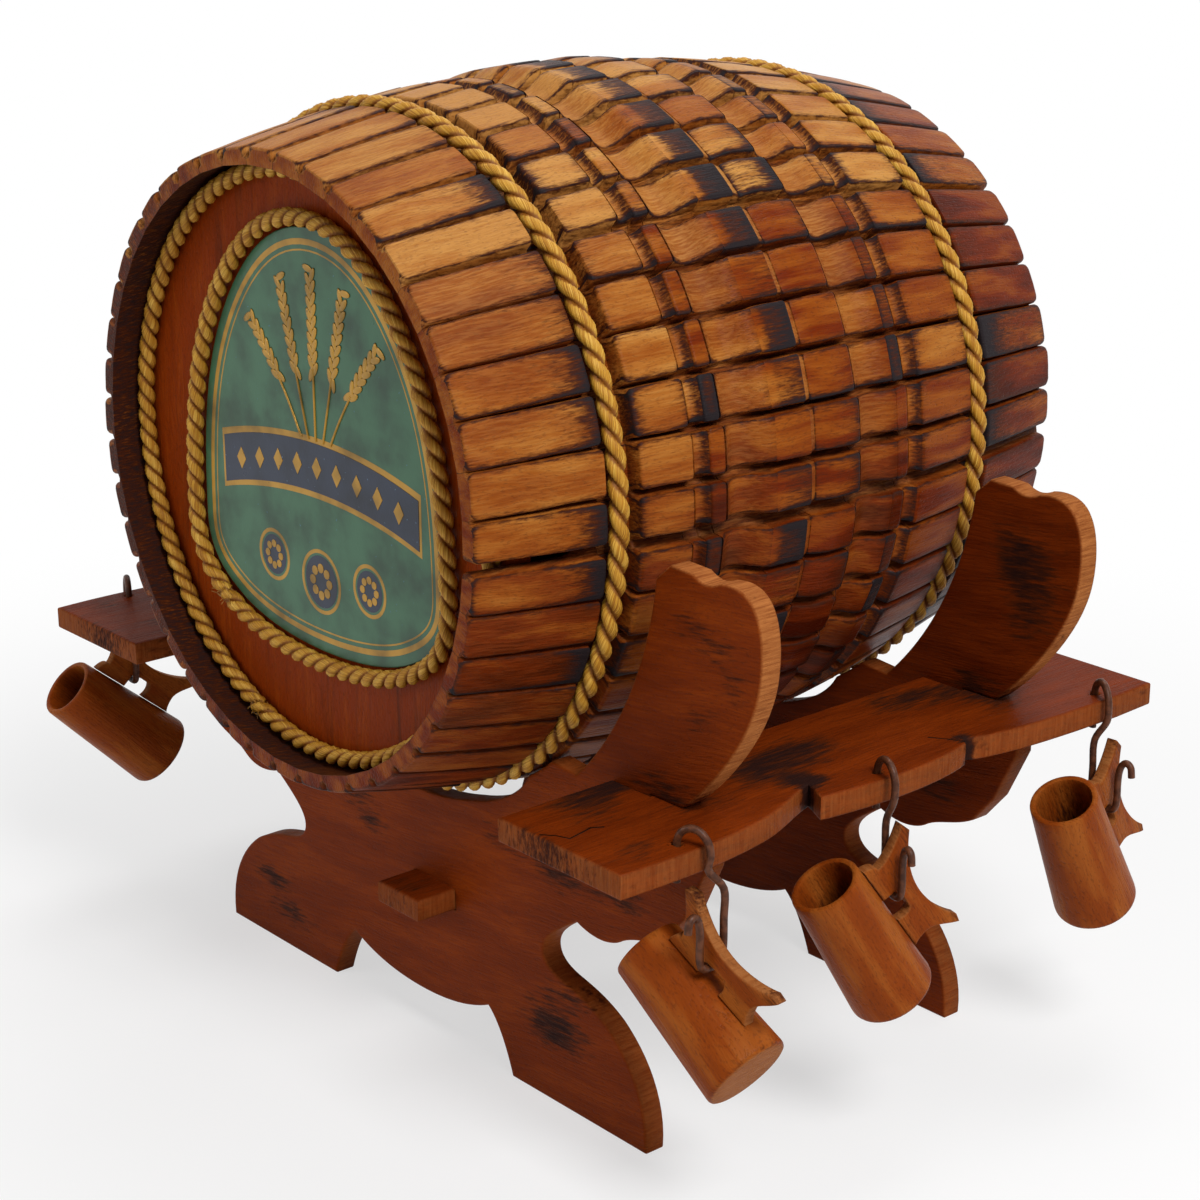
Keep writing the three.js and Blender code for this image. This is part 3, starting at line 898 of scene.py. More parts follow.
def wire_tree() -> Tree:
    """A round wire along a path.

    Returns:
        The tree.
    """
    names = {"Radius": "NodeSocketFloat", "Material": "NodeSocketMaterial"}
    graph, given = start_tree("bent_wire", names)
    path = graph.first("GeometryNodeMeshToCurve", {0: given["Path"]})
    inputs = {"Resolution": 12, "Radius": given["Radius"]}
    profile = graph.first("GeometryNodeCurvePrimitiveCircle", inputs)
    inputs = {"Curve": path, "Profile Curve": profile, "Fill Caps": True}
    return end_tree(graph, graph.first("GeometryNodeCurveToMesh", inputs), given["Material"])


def grains_tree() -> Tree:
    """Plump grains on alternate sides of a stem that lies in a plane across the barrel's axis.

    Returns:
        The tree.
    """
    number = "NodeSocketFloat"
    names = {"Spacing": number, "Length": number, "Width": number, "Thickness": number, "Spread": number}
    graph, given = start_tree("ear_of_grain", names | {"Material": "NodeSocketMaterial"})
    path = steps_along(graph, given["Path"], given["Spacing"])
    grain = graph.first("GeometryNodeMeshUVSphere", {"Segments": 10, "Rings": 6, "Radius": 0.5})
    along = graph.first("GeometryNodeInputTangent")
    tangent = graph.node("ShaderNodeSeparateXYZ", {0: along}).outputs
    heading = graph.math("ARCTAN2", tangent[2], tangent[0])
    parity = graph.math("MODULO", graph.first("GeometryNodeInputIndex"), 2.0)
    side = graph.tied(parity, 2.0, -1.0)
    heading = graph.tied(side, given["Spread"], heading)
    turn = graph.times(heading, -1.0)
    rotation = graph.first("ShaderNodeCombineXYZ", {1: turn})
    sizes = {0: given["Length"], 1: given["Thickness"], 2: given["Width"]}
    scale = graph.first("ShaderNodeCombineXYZ", sizes)
    reach = graph.times(given["Length"], 0.42)
    parts = {0: graph.math("COSINE", heading), 2: graph.math("SINE", heading)}
    shift = graph.scaled(graph.first("ShaderNodeCombineXYZ", parts), reach)
    path = graph.first("GeometryNodeSetPosition", {0: path, "Offset": shift})
    inputs = {"Points": path, "Instance": grain, "Rotation": rotation, "Scale": scale}
    set_out = graph.first("GeometryNodeInstanceOnPoints", inputs)
    return end_tree(graph, set_out, given["Material"])


class PathTool:
    """Geometry Nodes trees that lay strands, wire or grains along a path."""

    def __init__(self) -> None:
        """Builds the trees."""
        self.rope = rope_tree()
        self.wire = wire_tree()
        self.grains = grains_tree()

    def bend(self, name: str, paths: Sequence[Sequence[Vector]], radius: float, material: Material) -> Piece:
        """Bends a wire along each path, with sizes in millimetres."""
        return self.lay(name, self.wire, paths, radius=radius * MM, material=material)

    @staticmethod
    def lay(name: str, tree: Tree, paths: Sequence[Sequence[Vector]], **values: Any) -> Piece:
        """Runs a tree along paths and keeps the result as a plain mesh.

        Args:
            name: Name of the piece.
            tree: The tree.
            paths: Points of each path in millimetres.
            values: Input names, with underscores for spaces, to values.
        Returns:
            The finished object.
        """
        points: list[Vector] = []
        edges: list[tuple[int, int]] = []
        for path in paths:
            edges += [(len(points) + i, len(points) + i + 1) for i in range(len(path) - 1)]
            points += [point * MM for point in path]
        mesh = bpy.data.meshes.new(name + "_path")
        mesh.from_pydata(points, edges, [])
        piece = put(name, mesh)
        modifier = piece.modifiers.new("path", "NODES")
        modifier.node_group = tree
        for item in tree.interface.items_tree:
            key = item.name.replace(" ", "_").lower()
            if item.in_out == "INPUT" and key in values:
                modifier[item.identifier] = values[key]
        graph = bpy.context.evaluated_depsgraph_get()
        made = bpy.data.meshes.new_from_object(
            piece.evaluated_get(graph), preserve_all_data_layers=True, depsgraph=graph
        )
        made.name = name
        piece.modifiers.clear()
        piece.data = made
        bpy.data.meshes.remove(mesh)
        return piece


class Cut(Enum):
    """How a stretch of a stave's outer face is cut."""

    BLOCK = "left standing, with soft edges"
    NARROW = "hollowed with a round gouge"
    WIDE = "hollowed steeply behind its front edge and rising in a long curve"
    FACET = "cut at a slant"
    SEAT = "cut square for a rope"


@dataclass(frozen=True)
class Stretch:
    """A stretch of a stave's outer face from front to rear, with depths below the bulge."""

    cut: Cut
    start: float
    end: float
    front: float = 0.0
    rear: float = 0.0
    hollow: float = 0.0
    soft: Pair = (1.3, 1.3)
    corner: Pair = (1.6, 1.6)
    soot: float = 0.0
    singe: Pair = (0.4, 0.4)
    reach: Pair = (3.0, 3.0)
    tint: float = 0.0
    # A block's share of paler sawn colour on its top, which is painted sheen as well as sanding.
    sheen_and_sanding: float = 0.0


@dataclass(frozen=True)
class Station:
    """One cross-section of a stave: place, depth, narrowing, burn with some painted shade, and sawn colour
    with some painted sheen.
    """

    y: float
    depth: float
    tuck: float
    char: float
    sawn: float


@dataclass(frozen=True)
class Stave:
    """What sets one stave apart: its place, open joints, grain, tone, lie, burning and paleness."""

    number: int
    before: Pair
    after: Pair
    seed: float
    tone: float
    lift: float
    shift: float
    roll: float
    burn: float
    pale: float


@dataclass(frozen=True)
class Chance:
    """Ranges that the differences between staves, and between stretches of one stave, are drawn from."""

    seed: int = 44
    end_joints: tuple[float, ...] = (0.5, 0.7, 0.9, 1.2, 1.8)
    belly_joints: Pair = (1.6, 3.4)
    grain: Pair = (0.0, 900.0)
    tone: Pair = (-0.3, 0.3)
    lift: Pair = (-0.5, 0.4)
    shift: Pair = (-0.7, 0.7)
    roll: Pair = (-0.03, 0.03)
    burn: Pair = (0.5, 1.35)
    pale: Pair = (0.25, 1.3)
    tint: Pair = (-0.1, 0.1)
    stretch_burn: Pair = (0.15, 1.35)
    low_edge: Pair = (0.05, 0.5)


@dataclass(frozen=True)
class Rope:
    """A rope of plump strands, whose sizes are shares of its radius, and its loose fibres."""

    radius: float
    pitch: float
    strands: int = 2
    strand_radius: float = 0.6
    strand_offset: float = 0.41
    yarn_turns: float = 1.3
    step: float = 1.2
    fibres: int = 60
    fibre_root: float = 2.4
    fibre_radius: float = 0.16

    def lay(self, kit: "Kit", node: str, path: Sequence[Vector]) -> None:
        """Lays the rope along a path.

        Args:
            kit: Materials and tools.
            node: The solid that it replaces.
            path: Points in millimetres.
        """
        length = sum((b - a).length for a, b in zip(path, path[1:]))
        turns = length / self.pitch
        piece = kit.paths.lay(
            f"twisted_{node}",
            kit.paths.rope,
            [path],
            strands=self.strands,
            strand_radius=self.strand_radius * self.radius * MM,
            strand_offset=self.strand_offset * self.radius * MM,
            turns=-turns,
            yarn_turns=turns * self.yarn_turns,
            step=self.step * MM,
            material=kit.rope,
        )
        fit(piece, "barrel", "rope", node)

    def fray(self, kit: "Kit", name: str, path: Sequence[Vector]) -> None:
        """Lays loose fibres where the two ends of the rope meet.

        Args:
            kit: Materials and tools.
            name: Name of the rope.
            path: Points of the rope in millimetres.
        """
        draw = random.Random(len(path))
        fibres = []
        for _ in range(self.fibres):
            along = (path[3] - path[0]).normalized() * draw.choice((-1.0, 1.0))
            aside = (draw.uniform(-1.0, 1.0), draw.uniform(-1.0, 0.25), draw.uniform(-1.0, 1.0))
            out = Vector(aside).normalized()
            root = path[0] - along * draw.uniform(0.0, 3.0) + out * self.fibre_root
            bend = root + along * draw.uniform(1.5, 4.0) + out * draw.uniform(0.4, 1.6)
            tip = bend + along * draw.uniform(-0.5, 3.0) + out * draw.uniform(0.2, 2.0)
            fibres.append([root, root.lerp(bend, 0.5) + out * 0.3, bend, tip])
        piece = kit.paths.bend(f"frayed_{name}", fibres, self.fibre_radius, kit.rope_fibre)
        fit(piece, "barrel", "rope")


def swept(part: float, lowest: float = 0.42) -> float:
    """Depth of a wide hollow from 0 to 1: down round to its lowest place, then up in a long curve."""
    down = math.sin(0.5 * math.pi * min(part, lowest) / lowest) ** 0.9
    return down if part < lowest else 0.5 + 0.5 * math.cos(math.pi * (part - lowest) / (1.0 - lowest))


def places_on(stretch: Stretch) -> list[float]:
    """Picks where a stretch has stations, closer together near its ends.

    Args:
        stretch: The stretch.
    Returns:
        Places along the barrel, from front to rear.
    """
    start, end = stretch.start, stretch.end
    long = end - start
    if stretch.cut is Cut.BLOCK:
        near = [d for d in (0.0, 0.2, 0.6, 1.2, 2.0, 3.2, 5.5, 9.0, 14.0, 20.0) if d < long / 2 - 0.4]
        return [start + d for d in near] + [start + long / 2] + [end - d for d in reversed(near)]
    if stretch.cut is Cut.SEAT:
        return [start + 0.15, blend(start, end, 0.35), blend(start, end, 0.65), end - 0.15]
    steps = {Cut.NARROW: 7, Cut.WIDE: 13, Cut.FACET: 4}[stretch.cut]
    inner = [start + long * i / steps for i in range(1, steps)]
    return [start + 0.15, *inner, end - 0.15]


def rounded(distance: float, radius: float) -> float:
    """Drop of a rounded edge at a distance in from it."""
    short = max(0.0, radius - distance)
    return radius - math.sqrt(radius * radius - short ** 2)


@dataclass
class Barrel:
    """The staves, heads, ropes and panel."""

    kit: "Kit"
    axis_z: float = 260.5
    half_length: float = 157.5
    belly_radius: float = 149.5
    end_radius: float = 128.0
    belly_wall: float = 10.0
    end_wall: float = 7.0
    bulge_power: float = 1.7
    staves: int = 44
    seat_floor: float = 133.47
    hoop_y: float = 98.5
    hoop_radius: float = 138.4
    head_face: float = -138.5
    head_rope_y: float = -142.55
    head_ring_radius: float = 118.3
    head_rope: Rope = Rope(radius=3.75, pitch=16.0)
    hoop_rope: Rope = Rope(radius=4.0, pitch=19.5)
    hoop_joint: float = -100.0
    ring_joint: float = -110.0
    ring_steps: int = 240
    ring_gap: float = 0.6
    stave_turn: float = 0.5
    sharp: float = 36.0
    chance: Chance = Chance()
    # Joints between staves: how far they lie open, and shares of the wall that are closed.
    left_opening: float = 1.2
    open_joint: Pair = (5.0, 0.5)
    open_run: float = 25.0
    tight_run: float = 12.0
    joint_floor: Pair = (0.12, 0.62)
    joint_wall: Pair = (0.35, 0.78)
    overlap: float = 0.02
    # Unevenness of the faces.
    shifted_run: float = 62.0
    face_wave: float = 0.25
    edge_wave: float = 0.3
    edge_rounding: float = 1.3
    # Tones, painted light and shade, and burning.
    stave_tone: float = 0.51
    # Upper staves lighter and lower ones darker: partly painted light from above and painted shade below,
    # partly wear on top and a redder stain below.
    upper_light_and_wear_slope: float = 0.32
    lower_shade_and_stain_slope: float = 0.23
    lower_spread: float = 0.5
    side_shade: float = 0.23
    top_light: float = 0.1
    wall_shade: float = 0.12
    wall_sawn: float = 0.35
    end_inset: float = 0.06
    end_tone: float = 0.4
    end_top_light: float = 0.12
    end_shade: float = 0.2
    end_char: float = 0.55
    most_soot: float = 0.6
    soot_run: float = 6.0
    stretches: tuple[Stretch, ...] = (
        Stretch(
            Cut.BLOCK, -157.5, -103.5, soft=(0.9, 1.2), corner=(2.2, 1.6),
            singe=(0.4, 0.95), reach=(1.5, 10.0), tint=-0.08, sheen_and_sanding=0.42,
        ),
        Stretch(Cut.SEAT, -103.5, -89.0),
        Stretch(Cut.BLOCK, -89.0, -65.5, singe=(0.6, 0.45), reach=(4.0, 3.0), tint=0.08, sheen_and_sanding=0.3),
        Stretch(Cut.NARROW, -65.5, -58.0, 0.0, 0.8, 3.8),
        Stretch(Cut.BLOCK, -58.0, -50.6, 0.8, 0.8, soot=0.3, reach=(1.5, 1.5), tint=-0.1),
        Stretch(Cut.WIDE, -50.6, -27.0, 0.8, 0.0, 6.2),
        Stretch(
            Cut.BLOCK, -27.0, -9.1, soft=(0.0, 0.6), corner=(0.8, 0.8),
            soot=0.58, singe=(0.0, 0.5), reach=(4.0, 6.0), tint=-0.08,
        ),
        Stretch(Cut.FACET, -9.1, -4.7, 0.6, 2.9),
        Stretch(
            Cut.BLOCK, -4.7, 18.1, 2.5, 0.0, soft=(0.0, 0.8), corner=(0.6, 1.2),
            soot=0.15, singe=(0.4, 0.75), reach=(2.0, 4.5), tint=-0.1,
        ),
        Stretch(Cut.WIDE, 18.1, 41.9, 0.0, 0.8, 6.0),
        Stretch(Cut.BLOCK, 41.9, 49.4, 0.8, 0.8, soft=(0.3, 1.2), soot=0.42, reach=(1.5, 1.5), tint=-0.12),
        Stretch(Cut.NARROW, 49.4, 57.5, 0.8, 0.0, 3.6),
        Stretch(Cut.BLOCK, 57.5, 93.5, singe=(0.5, 0.45), reach=(4.0, 4.0)),
        Stretch(Cut.SEAT, 93.5, 106.0),
        Stretch(
            Cut.BLOCK, 106.0, 157.5, corner=(1.6, 4.0),
            soot=0.14, singe=(0.9, 0.25), reach=(10.0, 3.0), tint=-0.34,
        ),
    )

    def taper(self, y: float) -> float:
        """How far the bulge has narrowed at y, from 0 at the belly to 1 at the ends."""
        return (abs(y) / self.half_length) ** self.bulge_power

    def bulge(self, y: float) -> float:
        """Outer radius before cutting."""
        return blend(self.belly_radius, self.end_radius, self.taper(y))

    def inside(self, y: float) -> float:
        """Inner radius."""
        return blend(self.belly_radius - self.belly_wall, self.end_radius - self.end_wall, self.taper(y))

    def around(self, radius: float, angle: float, y: float) -> Vector:
        """A point about the barrel's axis."""
        return Vector((radius * math.cos(angle), y, self.axis_z + radius * math.sin(angle)))

    def build(self) -> None:
        """Builds every piece of the barrel."""
        self.build_staves()
        self.build_ropes()
        for node in ("front_head", "rear_head"):
            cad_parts[node].data.materials.clear()
            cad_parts[node].data.materials.append(self.kit.head_wood)
        Panel(self.kit, self).build()

    def build_staves(self) -> None:
        """Builds the staves, two to a piece as in the frame."""
        draw = random.Random(self.chance.seed)
        joints = self.joints(draw)
        for pair in range(self.staves // 2):
            draft = Draft()
            for number in (2 * pair, 2 * pair + 1):
                self.draw_stave(draft, self.stave(number, joints, draw), draw)
            name = f"stave_pair_{pair + 1:02d}"
            fit(draft.piece(f"carved_{name}", self.kit.stave_wood, self.sharp), "barrel", "stave_wood", name)

    def joints(self, draw: random.Random) -> list[Pair]:
        """Draws the joint before each stave, which is wider on the left.

        Args:
            draw: Source of chance.
        Returns:
            For each stave the width at the ends and how much wider it is at the belly.
        """
        made = []
        for number in range(self.staves):
            left = max(0.0, -math.cos(self.middle(number - 0.5)))
            end_joint = draw.choice(self.chance.end_joints) * (1.0 + self.left_opening * left)
            made.append((end_joint, draw.uniform(*self.chance.belly_joints)))
        made[-1] = self.open_joint
        return made

    def stave(self, number: int, joints: Sequence[Pair], draw: random.Random) -> Stave:
        """Draws what sets one stave apart.

        Args:
            number: Number of the stave.
            joints: The joint before each stave.
            draw: Source of chance.
        Returns:
            The stave.
        """
        chance = self.chance
        height = math.sin(self.middle(number))
        slope, spread = (self.upper_light_and_wear_slope, 1.0) if height > 0.0 else (self.lower_shade_and_stain_slope, self.lower_spread)
        seed = draw.uniform(*chance.grain)
        # Lighter upwards and darker downwards: partly painted light and shade, partly wear on top and a
        # redder stain below.
        tone = self.stave_tone + slope * height + draw.uniform(*chance.tone) * spread
        ranges = (chance.lift, chance.shift, chance.roll, chance.burn, chance.pale)
        rest = [draw.uniform(*limits) for limits in ranges]
        return Stave(number, joints[number], joints[(number + 1) % self.staves], seed, tone, *rest)

    def middle(self, number: float) -> float:
        """Angle of a stave's middle about the barrel's axis, from the right side upwards."""
        return (number + 0.5 + self.stave_turn) * math.tau / self.staves

    def draw_stave(self, draft: Draft, stave: Stave, draw: random.Random) -> None:
        """Draws one stave from front to rear.

        Args:
            draft: The mesh being drawn.
            stave: The stave.
            draw: Source of chance.
        """
        rows = []
        angle = self.middle(stave.number)
        height = math.sin(angle)
        # Painted shade on the belly of the side staves, less the painted light on the belly of upper staves.
        belly_shading = self.side_shade * (1.0 - abs(height)) - self.top_light * max(0.0, height)
        tones = [stave.tone + stretch.tint + draw.uniform(*self.chance.tint) for stretch in self.stretches]
        for number, stretch in enumerate(self.stretches):
            if abs(stretch.start + stretch.end) < 2 * self.hoop_y:
                tones[number] -= belly_shading
        for number, stretch in enumerate(self.stretches):
            burn = stave.burn * draw.uniform(*self.chance.stretch_burn)
            low_edge = draw.uniform(*self.chance.low_edge) * stave.burn
            for y in places_on(stretch):
                station = self.station(stretch, y, burn)
                tone = tones[number]
                if stretch.cut is Cut.WIDE:
                    part = (station.y - stretch.start) / (stretch.end - stretch.start)
                    tone = blend(tone, tones[number + 1], part * part)
                rows.append(self.section(draft, stave, station, tone, low_edge))
        rows = [self.end_face(draft, rows[0], angle), *rows, self.end_face(draft, rows[-1], angle)]
        draft.skin(rows)
        draft.faces.append(tuple(rows[0]))
        draft.faces.append(tuple(reversed(rows[-1])))

    def end_face(self, draft: Draft, rim: Sequence[int], angle: float) -> list[int]:
        """Draws the rim of a stave's smooth end face: lighter at the top as painted light, darker below and
        on the left as painted shade, and burnt on the left.

        Args:
            draft: The mesh being drawn.
            rim: Numbers of the points that it lies just inside of.
            angle: The stave's angle about the axis.
        Returns:
            The numbers of its points.
        """
        points = [draft.points[number] for number in rim]
        middle = sum(points, Vector()) / len(points)
        left = max(0.0, -math.cos(angle))
        # Painted light on upper end faces and painted shade on lower and left ones.
        tone = self.end_tone + self.end_top_light * math.sin(angle) - self.end_shade * left
        made = []
        for number, point in zip(rim, points):
            spot = point.lerp(middle, self.end_inset)
            made.append(draft.add(spot, draft.grain[number], tone, self.end_char * left))
        return made

    def station(self, stretch: Stretch, y: float, burn: float) -> Station:
        """Works out one station of a stretch.

        Args:
            stretch: The stretch.
            y: Where the station lies.
            burn: How strongly the stretch is burnt on this stave.
        Returns:
            The station.
        """
        front, rear = y - stretch.start, stretch.end - y
        part = front / (stretch.end - stretch.start)
        depth = blend(stretch.front, stretch.rear, part)
        if stretch.cut is Cut.BLOCK:
            depth = stretch.rear + (stretch.front - stretch.rear) * max(0.0, 1.0 - 2.1 * part) ** 1.4
            depth += rounded(front, stretch.soft[0]) + rounded(rear, stretch.soft[1])
            tuck = rounded(front, stretch.corner[0]) + rounded(rear, stretch.corner[1])
            char = stretch.singe[0] * math.exp(-front / stretch.reach[0])
            char += stretch.singe[1] * math.exp(-rear / stretch.reach[1])
            grown = 1.0 if stretch.soft[0] else rise(front, 0.0, self.soot_run)
            char = grown * min(self.most_soot, stretch.soot * burn) + char * burn
            return Station(y, depth, tuck, char, stretch.sheen_and_sanding)
        if stretch.cut is Cut.NARROW:
            depth += stretch.hollow * math.sin(math.pi * part) ** 0.8
            char = 0.5 * min(1.0, max(0.0, 2.2 * part - 0.9))
            return Station(y, depth, tuck=0.7, char=char, sawn=0.6)
        if stretch.cut is Cut.WIDE:
            depth += stretch.hollow * swept(part)
            # Darker in the deep corner behind the steep front wall as painted shade, and darker towards the
            # rear end.
            char = 0.45 * (1.0 - rise(part, 0.0, 0.22)) + 0.25 * rise(part, 0.7, 1.0)
            return Station(y, depth, tuck=0.4, char=char, sawn=0.65 - 0.55 * rise(part, 0.5, 1.0))
        if stretch.cut is Cut.FACET:
            return Station(y, depth, tuck=0.4, char=0.5 * rise(part, 0.7, 1.0), sawn=0.7)
        # The rope's seat is darkened as painted shade beside the rope.
        return Station(y, self.bulge(y) - self.seat_floor, tuck=0.5, char=0.3, sawn=0.2)

    def section(
        self, draft: Draft, stave: Stave, station: Station, tone: float, low_edge: float
    ) -> list[int]:
        """Draws one cross-section of a stave.

        Args:
            draft: The mesh being drawn.
            stave: The stave.
            station: The station.
            tone: Tone of the wood.
            low_edge: How burnt the lower long edge is.
        Returns:
            The numbers of its points, round the section.
        """
        y = station.y + (stave.shift if abs(station.y) < self.shifted_run else 0.0)
        angle = self.middle(stave.number)
        across = Vector((-math.sin(angle), 0.0, math.cos(angle)))
        half = math.pi / self.staves
        inner = self.inside(y) * math.cos(half)
        outer = (self.bulge(y) - station.depth + min(stave.lift, station.depth)) * math.cos(half)
        outer += noise.noise(Vector((y * 0.06, stave.seed, 0.0))) * self.face_wave
        low = inner * math.tan(half) + self.overlap
        tight = rise(self.head_face - y, 0.0, self.tight_run) * (0.5 + 0.5 * math.cos(angle))
        # Painted shade on the stave's inner face, carried in the char mark, stronger on the left in front of
        # the head.
        shade = 0.6 if y < self.head_face and math.cos(angle) < 0.0 else 0.5
        soft = min(self.edge_rounding, 0.3 * (outer - inner))
        char = station.char
        shape: list[Triple] = []
        for sign, gap in ((-1, stave.before), (1, stave.after)):
            joint = gap[0] + gap[1] * (1.0 - self.taper(y))
            ripple = noise.noise(Vector((y * 0.09, stave.seed, sign))) * self.edge_wave
            edge = outer * math.tan(half) - joint / 2 - station.tuck + ripple
            top = outer + sign * edge * stave.roll
            lower = low_edge if sign * across.z < 0 else 0.1
            floor = blend(inner, top, blend(*self.joint_floor, tight))
            through = gap == self.open_joint and y < self.head_face + self.open_run
            side = [
                (sign * (edge if through else low), inner, shade),
                (sign * (edge if through else floor * math.tan(half) + self.overlap), floor, 0.4),
                (sign * edge, blend(inner, top, blend(*self.joint_wall, tight)), 0.3),
                (sign * edge, top - soft, 0.1 + lower),
                (sign * (edge - 0.3 * soft), top - 0.3 * soft, 0.38 + 0.7 * char + lower),
                (sign * (edge - soft), top, 0.16 + char + 0.6 * lower),
                (sign * (edge - 2.4 * soft), top + 0.1, char),
            ]
            shape += side if sign < 0 else [(0.0, outer + 0.2, char), *reversed(side)]
        # Each point's third number is its char mark: burn, and on the inner face painted shade.
        shape.append((0.0, inner, shade))
        # More sawn colour on upper staves: partly sawing and sanding, partly painted sheen from above.
        sheen_and_sanding = station.sawn * min(1.0, max(0.25, 0.45 + 0.8 * math.sin(angle))) * stave.pale
        made = []
        for sideways, radius, burnt in shape:
            spot = self.around(radius, angle, y) + across * sideways
            grain = Vector((y + stave.seed * 7.0, sideways + stave.seed, radius + stave.seed * 3.0))
            wall = radius < outer - soft - 0.5
            sawn = self.wall_sawn if wall else sheen_and_sanding
            made.append(draft.add(spot, grain, tone - (self.wall_shade if wall else 0.0), burnt, sawn))
        return made

    def build_ropes(self) -> None:
        """Lays the two hoops and the ring on the front head."""
        for name, side in (("front", -1), ("rear", 1)):
            path = self.ring_path(self.hoop_radius, side * self.hoop_y, self.hoop_joint)
            self.hoop_rope.lay(self.kit, f"rope_hoop_{name}", path)
        path = self.ring_path(self.head_ring_radius, self.head_rope_y, self.ring_joint)
        self.head_rope.lay(self.kit, "rope_head_ring", path)
        self.head_rope.fray(self.kit, "head_ring", path)

    def ring_path(self, radius: float, y: float, joint: float) -> list[Vector]:
        """Runs round the barrel's axis from just after a rope's joint to just before it.

        Args:
            radius: Radius of the ring.
            y: Where it lies along the barrel.
            joint: Angle of the joint in degrees.
        Returns:
            The points of the run.
        """
        start = math.radians(joint) + self.ring_gap / 2 / radius
        sweep = math.tau - self.ring_gap / radius
        steps = self.ring_steps
        return [self.around(radius, start + sweep * i / steps, y) for i in range(steps + 1)]


@dataclass
class Panel:
    """The printed panel on the front head and the rope loop round it."""

    kit: "Kit"
    barrel: Barrel
    centre_x: float = 5.0
    top: float = 100.5
    bottom: float = -79.5
    half_width: float = 87.0
    back: float = -138.8
    thickness: float = 1.2
    ink: float = 0.16
    sunk: float = 0.1
    rope_inset: float = 4.05
    rope_start: float = 0.36
    borders: tuple[Pair, ...] = ((4.5, 6.9), (8.6, 9.3))
    gold_band: Pair = (68.0, 12.5)
    navy_band: Pair = (66.5, 10.0)
    band_ends: float = -8.0
    band_crown: float = 4.0
    band_pull: float = 25.0
    diamond: Pair = (3.2, 4.6)
    diamond_step: float = 13.5
    roundels: tuple[Triple, ...] = (
        (-33.0, -42.0, 11.0), (0.0, -46.0, 13.5), (33.0, -42.0, 11.0),
    )
    petals: int = 8
    grain_sizes: tuple[tuple[str, float], ...] = (
        ("spacing", 2.3), ("length", 7.0), ("width", 2.9), ("thickness", 0.5),
    )
    grain_spread: float = 0.5
    stem_radius: float = 0.5

    def loop(self) -> list[Pair]:
        """Draws the run of the rope loop.

        Returns:
            Points in x and z about the barrel's axis.
        """
        w, top, low = self.half_width, self.top, self.bottom
        half = Sketch(0.0, top)
        half.curve(-0.32 * w, top, -0.55 * w, 0.84 * top, -0.72 * w, 0.63 * top)
        half.curve(-0.92 * w, 0.38 * top, -w, 0.1 * top, -w, 0.43 * low)
        half.curve(-w, 0.64 * low, -0.9 * w, 0.76 * low, -0.71 * w, 0.86 * low)
        half.curve(-0.55 * w, 0.95 * low, -0.29 * w, low, 0.0, low)
        return half.closed_by_mirror()

    def spot(self, x: float, z: float, y: float) -> Vector:
        """A point on the panel."""
        return Vector((self.centre_x + x, y, self.barrel.axis_z + z))

    def build(self) -> None:
        """Builds the panel, its print and the rope loop."""
        loop = wound(self.loop(), True)
        inner = moved_in(loop, self.rope_inset)
        middle = self.back - self.thickness / 2
        place: Placer = lambda x, z, w: self.spot(x, z, middle - w)
        ground = Board(inner, self.thickness, place, self.lie, rounding=0.3, unevenness=0.02)
        fit(ground.make("panel_ground", self.kit.panel_green), "barrel", "panel", "label_panel")
        self.build_print(inner)
        start = round(self.rope_start * len(loop))
        path = [self.spot(x, z, self.barrel.head_rope_y) for x, z in loop[start:] + loop[: start + 1]]
        path[-1] = path[-1].lerp(path[-2], 0.1)
        self.barrel.head_rope.lay(self.kit, "rope_label_loop", path)
        self.barrel.head_rope.fray(self.kit, "label_loop", path)

    @staticmethod
    def lie(x: float, z: float, w: float) -> Vector:
        """Coordinates that a flat print needs for its marks."""
        return Vector((x, z, w))

    def build_print(self, inner: Sequence[Pair]) -> None:
        """Lays the coloured inks: border lines, a curved band, ears of grain and roundels.

        Args:
            inner: Outline of the panel inside its rope.
        """
        gold = Draft()
        navy = Draft()
        for outside, inside in self.borders:
            self.lay(gold, moved_in(inner, outside), [moved_in(inner, inside)])
        self.lay(gold, self.band(*self.gold_band))
        self.lay(navy, self.band(*self.navy_band), level=2)
        wide, tall = self.diamond
        for step in range(-4, 5):
            x = self.diamond_step * step
            z = 1.0 - 0.0022 * x * x
            self.lay(gold, [(x - wide, z), (x, z - tall), (x + wide, z), (x, z + tall)], level=3)
        for x, z, size in self.roundels:
            self.lay(gold, ring_of((x, z), size, 40), [ring_of((x, z), size - 1.6, 40)])
            self.lay(navy, ring_of((x, z), size - 2.6, 36))
            for petal in ring_of((x, z), 0.42 * size, self.petals):
                self.lay(gold, ring_of(petal, 0.15 * size, 10), level=2)
        fit(gold.piece("panel_gold_print", self.kit.panel_gold), "barrel", "panel")
        fit(navy.piece("panel_navy_print", self.kit.panel_navy), "barrel", "panel")
        self.build_ears()

    def band(self, reach: float, high: float) -> list[Pair]:
        """Draws a curved band.

        Args:
            reach: Half of its length.
            high: Half of its height.
        Returns:
            Its outline in x and z on the panel.
        """
        pull, ends, crown = self.band_pull, self.band_ends, self.band_crown
        over = Sketch(-reach, ends + high)
        over.curve(-pull, crown + high, pull, crown + high, reach, ends + high, steps=24)
        under = Sketch(reach, ends - high)
        under.curve(pull, crown - high, -pull, crown - high, -reach, ends - high, steps=24)
        return over.points + under.points

